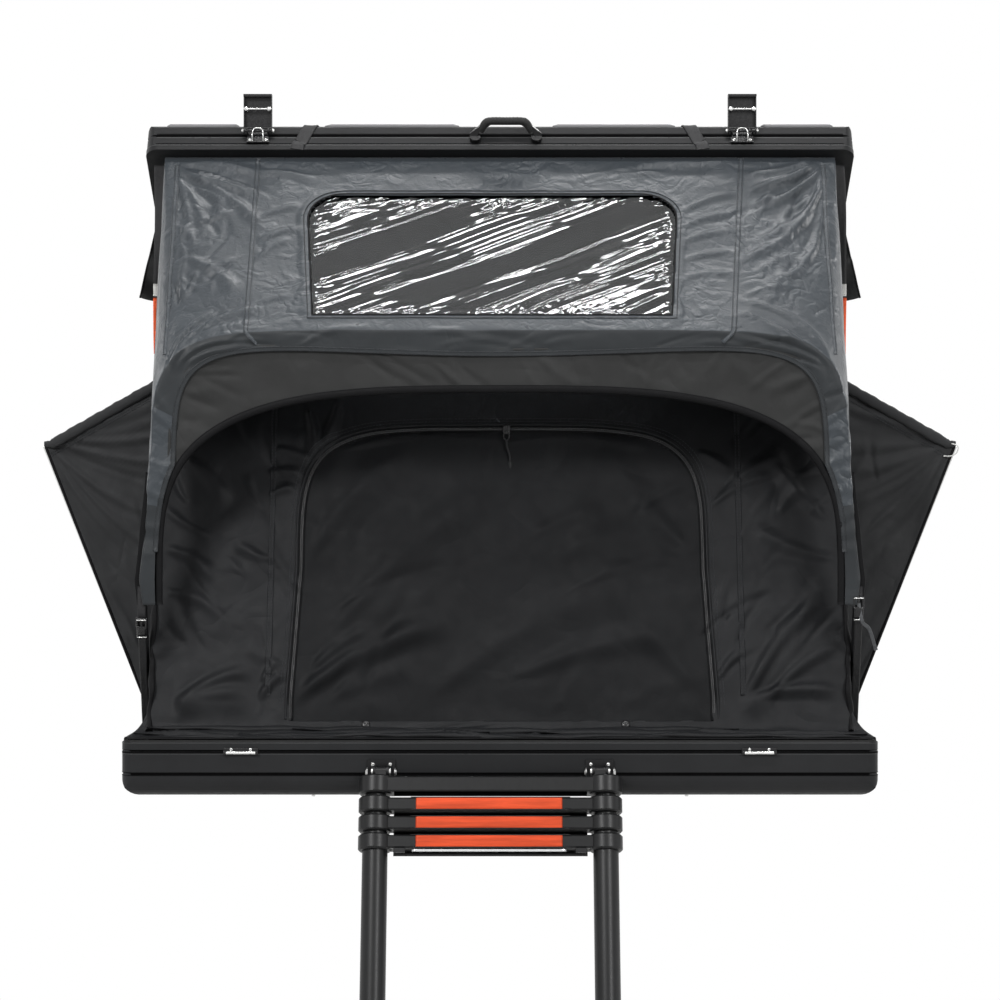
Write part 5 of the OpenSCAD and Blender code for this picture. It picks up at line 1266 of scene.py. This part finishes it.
def lid_straps():
    """The pull-down straps lie over the lid's near edge."""
    straps, plates, rivets = [], [], []
    for side in (-1, 1):
        y = -HALF_L
        pts = [(x, y + dy, LID_Z + dz) for x, dy, dz in (
            (0.4145, -0.0010, 0.0008), (0.4138, -0.0013, 0.005), (0.4125, -0.0014, 0.012), (0.4100, -0.0004, 0.0175),
            (0.4060, 0.0008, 0.024), (0.3950, 0.0008, 0.052), (0.3890, 0.0030, 0.0655), (0.3855, 0.012, 0.0712),
            (0.3780, 0.040, 0.0712), (0.3700, 0.075, 0.0712))]
        line = spline(pts, 120) * vec(side, 1, 1)
        n = unit(np.gradient(line, axis=0))
        up = unit(np.cross(np.broadcast_to(vec(1, 0, 0), n.shape), n))
        up *= np.sign((up * vec(0, -1, 1)).sum(-1, keepdims=True) + 1e-6)
        straps.append(sweep(line, strap_profile(0.027, 0.0018), up))
        at = line[-9]
        plates.append(block(at + vec(0, 0, 0.0016), (0.0155, 0.0095, 0.0016), 0.0010))
        rivets += [screw(at + vec(e, 0, 0.0030), (0, 0, 1), 0.0032) for e in (-0.0095, 0.0095)]
    piece("pull_down_straps", placed(on_lid, straps), WEBBING, "lid")
    piece("pull_down_plates", placed(on_lid, plates), LEVER, "lid")
    piece("pull_down_rivets", placed(on_lid, rivets), STEEL, "lid")


def side_flaps():
    for name, side, seed in (("left", -1, 101), ("right", 1, 102)):
        t = np.linspace(0, 1, 70)[:, None]
        u = np.linspace(0, 1, 30)[None, :]
        y = -HALF_L + mix(0.240, mix(0.520, 0.502, u), t)
        wide = 0.068 * t * 0.985
        x = HALF_W - 0.0006 + wide * u
        h = 0.004 * np.sin(math.pi * u * t) * np.sin(9 * t + 2 * u) + 0.0022 * ripple(y, x, seed, 0.07)
        z = LID_Z + 0.0042 + h * smooth(u * t * 4)
        grid = on_lid(np.stack([side * x, y, z + 0 * x], -1))
        grid = grid if side < 0 else grid[:, ::-1]
        node = "lid_side_flaps" if side < 0 else None
        obj = piece("side_flap_" + name, cloth(grid, HEAVY_CANVAS), WING, "lid", node)
        rim = grid[:, 0 if side > 0 else -1]
        hem = sweep(resample(rim, 60), circle(0.0024, 8, 0.7), (0, 0.5, 0.85))
        piece("side_flap_hem_" + name, hem, BINDING, "lid")


lid_straps()
side_flaps()


# Latches, keepers, handle and ladder hardware

def latch_parts():
    bright, dark = [], []
    for side in (-1, 1):
        x, y, z = side * LATCH_X, -HALF_L - 0.012, LID_Z + 0.040
        for e in (-1, 1):
            bright.append(screw((x + e * 0.0165, y + 0.0092, z - 0.0165), (0, -1, 0), 0.0036))
            bright.append(lathe((x + e * 0.0305, y, z), (e, 0, 0),
                                [(0.0040, -0.001), (0.0040, 0.0016), (0.0030, 0.0028), (0.0004, 0.0030)]))
        # A sprung clip over the pin and a pressed lip on the plate
        clip = [(x + dx, y - 0.0030 + dy, z + dz) for dx, dy, dz in (
            (-0.011, 0.010, -0.020), (-0.011, 0.001, -0.014), (-0.010, -0.0013, -0.004), (-0.006, -0.0013, 0.003),
            (0.006, -0.0013, 0.003), (0.010, -0.0013, -0.004), (0.011, 0.001, -0.014), (0.011, 0.010, -0.020))]
        bright.append(sweep(spline(clip, 60), circle(0.0013, 8), (0, -1, 0.02)))
        dark.append(block((x, y + 0.0078, z - 0.0225), (0.024, 0.0016, 0.0022), 0.0012))
    piece("latch_screws", placed(on_lid, bright), STEEL, "lid")
    piece("latch_plate_lips", placed(on_lid, dark), LEVER, "lid")
    # On each lever: a cross rod near its hooked end, with riveted heads
    for name in ("left", "right"):
        low, high = (np.array(c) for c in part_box("latch_lever_" + name))
        mid, wide, z = (low + high) / 2, high[0] - low[0], mix(low[2], high[2], 0.62)
        rod = [sweep([(low[0] + 0.004 + (wide - 0.008) * s, low[1] + 0.0015, z) for s in np.linspace(0, 1, 24)],
                     circle(0.0022, 12), (0, 0.02, 1))]
        for e in (-1, 1):
            rod.append(lathe((mid[0] + e * wide * 0.40, low[1] + 0.0005, z), (0, -1, 0),
                             [(0.0046, -0.001), (0.0046, 0.0018), (0.0034, 0.0030), (0.0004, 0.0032)]))
        piece("latch_rod_" + name, rod, STEEL, "latch_" + name)


def keepers():
    plate, rod, caps, heads = [], [], [], []
    for side in (-1, 1):
        x = side * LATCH_X
        low, high = (np.array(c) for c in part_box("latch_keepers"))
        y = -HALF_L
        plate.append(block((x, y - 0.0012, (low[2] + high[2]) / 2), (0.0335, 0.0016, 0.0064), 0.0012))
        for e in (-1, 1):
            caps.append(block((x + e * 0.0305, y - 0.0042, low[2] + 0.0034), (0.0030, 0.0036, 0.0034), 0.0014))
            heads.append(screw((x + e * 0.0185, y - 0.0024, high[2] - 0.0034), (0, -1, 0), 0.0030))
        bar = [(x + s, y - 0.0044, low[2] + 0.0034) for s in np.linspace(-0.030, 0.030, 24)]
        rod.append(sweep(bar, circle(0.0031, 16), (0, 0.02, 1)))
    piece("keeper_plates", plate, LEVER, "base", "latch_keepers")
    piece("keeper_rods", rod, STEEL, "base")
    piece("keeper_lugs", caps, LEVER, "base")
    piece("keeper_screws", heads, STEEL, "base")


def ladder_parts():
    """Plain plates and ribs on the rungs, a bright strip under the fourth, and the brackets' fasteners."""
    # The rungs' tops under the pins
    tops = {2: -0.052, 3: -0.088, 4: -0.124, 5: -0.454, 6: -0.784, 7: -1.114}
    for k, top in tops.items():
        mid = top - 0.015
        y = RUNG_Y - 0.020
        x = np.linspace(-0.140, 0.135, 80)
        z = np.linspace(-0.0112, 0.0112, 14)
        xx, zz = np.meshgrid(x, z, indexing="xy")
        edge = np.minimum(0.1375 - np.abs(xx + 0.0025), 0.0112 - np.abs(zz))
        grid = np.stack([xx, y - 0.0008 - 0.0007 * smooth(edge / 0.003) + 0 * xx, mid + zz], -1)
        plate, ribs = cloth(grid[::-1], 0.0012), []
        for e in (-1, 1):
            lip = [(s, y - 0.0012, mid + e * 0.0118) for s in np.linspace(-0.150, 0.150, 40)]
            ribs.append(sweep(lip, circle(0.0011, 8), (0, -1, 0)))
        # A flange under the rung's back edge
        flange = [(s, RUNG_Y + 0.0165, mid - 0.0125 - 0.0035) for s in np.linspace(-0.183, 0.183, 40)]
        ribs.append(sweep(flange, [(-0.0012, -0.0046), (0.0012, -0.0046), (0.0016, 0.0), (0.0012, 0.0046),
                                   (-0.0012, 0.0046)], (0, 0.02, 1)))
        piece("rung_plate_%d" % k, placed(on_ladder, [plate]), LABEL, "ladder_%d" % k)
        piece("rung_ribs_%d" % k, placed(on_ladder, ribs), LADDER, "ladder_%d" % k)
    strip = [(s, RUNG_Y - 0.0150, -0.124 - 0.030 - 0.0008) for s in np.linspace(-0.147, 0.142, 40)]
    guide = sweep(strip, [(-0.0016, -0.0028), (0.0016, -0.0028), (0.0020, 0.0), (0.0016, 0.0030), (-0.0016, 0.0030)],
                  (0, 0.02, 1))
    piece("rung_guide", placed(on_ladder, [guide]), ALLOY, "ladder_4")
    # Bracket screws and the rings on the pin ends
    bright, rings = [], []
    for name in ("left", "right"):
        low, high = (np.array(c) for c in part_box("ladder_bracket_" + name))
        mid = (low + high) / 2
        for e in (-1, 1):
            bright.append(screw((mid[0] + e * 0.0165, -HALF_L - 0.0052, mid[2] + 0.0125), (0, -1, 0), 0.0036))
            end = low[0] if e < 0 else high[0]
            rings.append(lathe((end, LADDER_PIVOT[1], LADDER_PIVOT[2]), (e, 0, 0),
                               [(0.0088, -0.0006), (0.0088, 0.0012), (0.0076, 0.0020), (0.0056, 0.0020),
                                (0.0054, 0.0008), (0.0050, 0.0030), (0.0036, 0.0040), (0.0004, 0.0042)]))
    piece("bracket_screws", bright, STEEL, "base")
    piece("pin_rings", rings, STEEL, "base")


def handle_grip():
    """A moulded grip over the bar of the handle, ribbed along its front."""
    low, high = (np.array(c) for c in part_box("grab_handle"))
    x, y, z = (low[0] + high[0]) / 2, low[1] + 0.0062, high[2] - 0.0062
    foot = vec(high[1] - 0.0060, low[2] + 0.0130)
    end = mix(vec(y, z), foot, 0.62)
    path = [vec(x - 0.052, *end), vec(x - 0.0420, y, z - 0.004), vec(x - 0.030, y, z), vec(x, y, z),
            vec(x + 0.030, y, z), vec(x + 0.0420, y, z - 0.004), vec(x + 0.052, *end)]
    line = spline(path, 110)
    k = np.linspace(0, 1, 110)
    rib = 1 + 0.05 * np.clip(np.sin(k * 2 * math.pi * 18), 0, 1) * smooth((0.32 - np.abs(k - 0.5)) / 0.03)
    rib = rib * (0.9 + 0.1 * smooth(np.minimum(k, 1 - k) * 14))
    piece("handle_grip", sweep(line, circle(0.0078, 18), (0, -1, 0.2), scale=rib), RUBBER, "lid")


latch_parts()
keepers()
handle_grip()
ladder_parts()


# Painted shade in the grooves of both shells and on their faces, painted highlights beside it, a painted reflection
# along the lid's edge, and rivets

def ring_band(low, high, inset, depth):
    """A thin band right round a shell and its rounded corners, inset from the shell's side."""
    r, turn = CORNER_R - inset, np.linspace(0, math.pi / 2, 10)
    path = []
    for sx, sy, start in CORNERS:
        at = math.radians(start) + turn
        corner = np.stack([sx * (HALF_W - CORNER_R) + r * np.cos(at), sy * (HALF_L - CORNER_R) + r * np.sin(at),
                           0 * at], -1)
        if path:
            path.append(mix(path[-1][-1], corner[0], np.linspace(0, 1, 42)[1:-1, None]))
        path.append(corner)
    path.append(mix(path[-1][-1], path[0][0], np.linspace(0, 1, 42)[1:-1, None]))
    return sweep(np.concatenate(path), [(-depth, low), (0.0003, low), (0.0003, high), (-depth, high)], ring=True)


# Each piece with its bands: low and high above the shell's foot, inset and depth
# The groove linings are painted shade in the grooves and on the lid's face; the edge lines are painted highlights
BANDS = [
    ("base_groove_lining", GROOVE_SHADE, "base", "seal", [
        (0.0398, 0.041, 0.0, 0.0012), (0.045, 0.0466, 0.0, 0.0012), (0.0826, 0.0862, 0.0, 0.0012),
        (0.0888, 0.0898, 0.0, 0.0012), (0.041, 0.045, 0.0024, 0.001), (0.0862, 0.0888, 0.0024, 0.001)]),
    ("base_edge_lines", EDGE_HIGHLIGHT, "base", "shell", [(0.0808, 0.0824, 0.0, 0.001), (0.1014, 0.1026, 0.0, 0.001)]),
    ("lid_groove_lining", GROOVE_SHADE, "lid", "seal", [
        (0.0348, 0.0355, 0.002, 0.0012), (0.0405, 0.0442, 0.002, 0.0012), (0.0152, 0.0184, 0.002, 0.0012),
        (0.0355, 0.0405, 0.0044, 0.001)]),
    ("lid_edge_lines", EDGE_HIGHLIGHT, "lid", "shell", [(0.0324, 0.0346, 0.002, 0.001), (0.0112, 0.0132, 0.0, 0.001)]),
]


def shell_bands():
    for name, mat, body, slot, rows in BANDS:
        z = LID_Z if body == "lid" else BASE_Z
        bands = [ring_band(z + low, z + high, inset, depth) for low, high, inset, depth in rows]
        bands = placed(on_lid, bands) if body == "lid" else bands
        piece(name, bands, mat, body, flat_shade=True)
    # A pale strip along the lid's slanted near edge, broken at the latches, straps and handle: a painted reflection on
    # the rounded black edge
    tilt = math.radians(49)
    y = -HALF_L + 0.014 - 0.012 * math.cos(tilt)
    top = LID_Z + 0.058 + 0.012 * math.sin(tilt)
    bars = []
    for a, b in ((-0.684, -0.536), (-0.360, -0.084), (0.108, 0.360), (0.536, 0.684)):
        x = np.linspace(a, b, 24)
        size = np.clip(np.minimum(x - a, b - x) / 0.004, 0.3, 1)
        bars.append(sweep(np.stack([x, 0 * x + y, 0 * x + top], -1), circle(0.0050, 14), scale=size))
    piece("lid_edge_trim", placed(on_lid, bars), LID_EDGE_REFLECTION, "lid")
    # Rivets round the roof
    rivets = []
    for t in np.linspace(-1, 1, 12):
        rivets += [(t * (HALF_W - 0.055), e * (HALF_L - 0.034)) for e in (-1, 1)]
    for t in np.linspace(-1, 1, 18)[1:-1]:
        rivets += [(e * (HALF_W - 0.034), t * (HALF_L - 0.034)) for e in (-1, 1)]
    dome = [(0.0052, -0.0006), (0.0052, 0.0006), (0.0044, 0.0017), (0.0026, 0.0025), (0.0004, 0.0027)]
    parts = [lathe((x, y, LID_TOP), (0, 0, 1), dome, 14) for x, y in rivets]
    piece("roof_rivets", placed(on_lid, parts), LEVER, "lid")


shell_bands()


# Bedding: the mattress swells under its cover, and the lid has a quilted liner

# Length of the cloth simulation, and the most that it may move a point
SWELL_FRAMES, SWELL_MOST = 20, 0.010


def mattress():
    low, high = (np.array(c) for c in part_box("mattress"))
    mid, size = (low + high) / 2, (high - low) / 2
    inset = 0.006
    hx, hy, hz, r = size[0] - inset, size[1] - inset, size[2] - inset, 0.055

    def outline(count):
        path = []
        for sx, sy, a0 in CORNERS:
            path += [(sx * (hx - r) + r * math.cos(a), sy * (hy - r) + r * math.sin(a))
                     for a in np.radians(np.linspace(a0, a0 + 90, 9))]
        return resample(np.array(path + path[:1]), count + 1)[:-1]

    ring = outline(220)
    rings, z = [], np.concatenate([[-1] * 4, [-0.75, -0.3, 0.3, 0.75], [1] * 4])
    scale = [0.02, 0.45, 0.86, 0.985, 1, 1, 1, 1, 0.985, 0.86, 0.45, 0.02]
    for k, s in zip(z, scale):
        rings.append(np.column_stack([ring * s, np.full(len(ring), k * hz)]) + mid)
    p = np.concatenate(rings)
    m = len(ring)
    f = quads(len(rings), m, True).tolist() + [list(range(m))[::-1], list(range(len(p) - m, len(p)))]
    mesh = bpy.data.meshes.new("mattress_pad")
    mesh.from_pydata(p.tolist(), [], f)
    mesh.materials.append(TICKING)
    obj = bpy.data.objects.new("mattress_pad", mesh)
    bpy.context.scene.collection.objects.link(obj)
    mod = obj.modifiers.new("remesh", "REMESH")
    mod.mode, mod.voxel_size = "VOXEL", 0.012
    bake(obj)
    start = np.array([v.co[:] for v in obj.data.vertices])
    mod = obj.modifiers.new("cloth", "CLOTH")
    mod.settings.use_pressure = True
    mod.settings.uniform_pressure_force = 4.0
    mod.settings.effector_weights.gravity = 0
    mod.settings.quality = 4
    mod.point_cache.frame_start, mod.point_cache.frame_end = 1, SWELL_FRAMES
    for k in range(1, SWELL_FRAMES + 1):
        bpy.context.scene.frame_set(k)
    bake(obj)
    bpy.context.scene.frame_set(1)
    moved = np.array([v.co[:] for v in obj.data.vertices])
    step = moved - start
    long = np.linalg.norm(step, axis=1, keepdims=True)
    moved = start + step * np.minimum(1, SWELL_MOST / np.maximum(long, 1e-9))
    # Buttoned tufts in rows, and it lies flat on the floor and inside the rails
    x, y = moved[:, 0] - mid[0], moved[:, 1] - mid[1]
    tufts = [(k, row) for row in np.linspace(-0.78, 0.78, 7) for k in (-0.42, 0.0, 0.42)]
    tuft = np.zeros(len(moved))
    for k, row in tufts:
        tuft = np.maximum(tuft, np.exp(-((x - k) ** 2 + (y - row) ** 2) / 0.035**2))
    up = smooth((moved[:, 2] - mid[2]) / hz)
    crown = 1 - np.maximum(np.abs(x) / size[0], np.abs(y) / size[1]) ** 4
    moved[:, 2] += up * (0.004 * crown - 0.011 * tuft)
    lim_low, lim_high = low + vec(0.0005, 0.0005, 0.0004), high - vec(0.0005, 0.0005, 0.0)
    moved = np.clip(moved, lim_low, lim_high)
    obj.data.vertices.foreach_set("co", moved.reshape(-1))
    obj.data.polygons.foreach_set("use_smooth", [True] * len(obj.data.polygons))
    obj.data.materials.clear()
    obj.data.materials.append(TICKING)
    finish_piece(obj, "base", "mattress", None)
    # Piped edges and the tuft buttons
    edge = outline(360)
    piping = []
    for k in (-1, 1):
        path = np.column_stack([edge, np.full(len(edge), mid[2] + k * (hz - 0.007))]) + vec(mid[0], mid[1], 0)
        path[:, :2] += 0.0015 * unit(edge)
        piping.append(sweep(path, circle(0.0036, 8), (0, 0, 1), ring=True))
    piece("mattress_piping", piping, WALL, "base")
    buttons = [lathe((mid[0] + k, mid[1] + row, high[2] - 0.0125), (0, 0, 1),
                     [(0.011, -0.004), (0.0118, 0.0004), (0.0100, 0.0028), (0.005, 0.0040), (0.0004, 0.0042)], 20)
               for k, row in tufts]
    piece("mattress_buttons", buttons, TICKING, "base")


def liner():
    """A quilted pad under the lid's skin, made in the closed lid's place and then opened with it."""
    half_w, half_l = IN_W - 0.006, IN_L - 0.006
    top, deep = LID_TOP - 0.0022, 0.0105
    nx, ny = 150, 220
    x, y = np.meshgrid(np.linspace(-half_w, half_w, nx), np.linspace(-half_l, half_l, ny), indexing="ij")
    a, b = (x + y) * math.pi / 0.19, (x - y) * math.pi / 0.19
    puff = np.minimum(np.abs(np.sin(a)), np.abs(np.sin(b))) ** 0.55
    edge = np.minimum(half_w - np.abs(x), half_l - np.abs(y))
    puff = puff * smooth(edge / 0.03) * 0.75 + 0.25 * smooth(edge / 0.012)
    low = np.stack([x, y, top - 0.0025 - (deep - 0.0030) * puff], -1)
    high = np.stack([x, y, np.full_like(x, top)], -1)
    n = nx * ny
    f = quads(nx, ny)
    idx = np.arange(n).reshape(nx, ny)
    rim = np.concatenate([idx[0], idx[1:, -1], idx[-1, -2::-1], idx[-2:0:-1, 0]])
    nxt = np.roll(rim, -1)
    faces = f[:, ::-1].tolist() + (f + n).tolist() + np.stack([rim, nxt, nxt + n, rim + n], -1).tolist()
    pad = on_lid(np.concatenate([low.reshape(-1, 3), high.reshape(-1, 3)]))
    obj = piece("lid_liner_pad", (pad, faces), LINER, "lid", "lid_liner")


mattress()
liner()
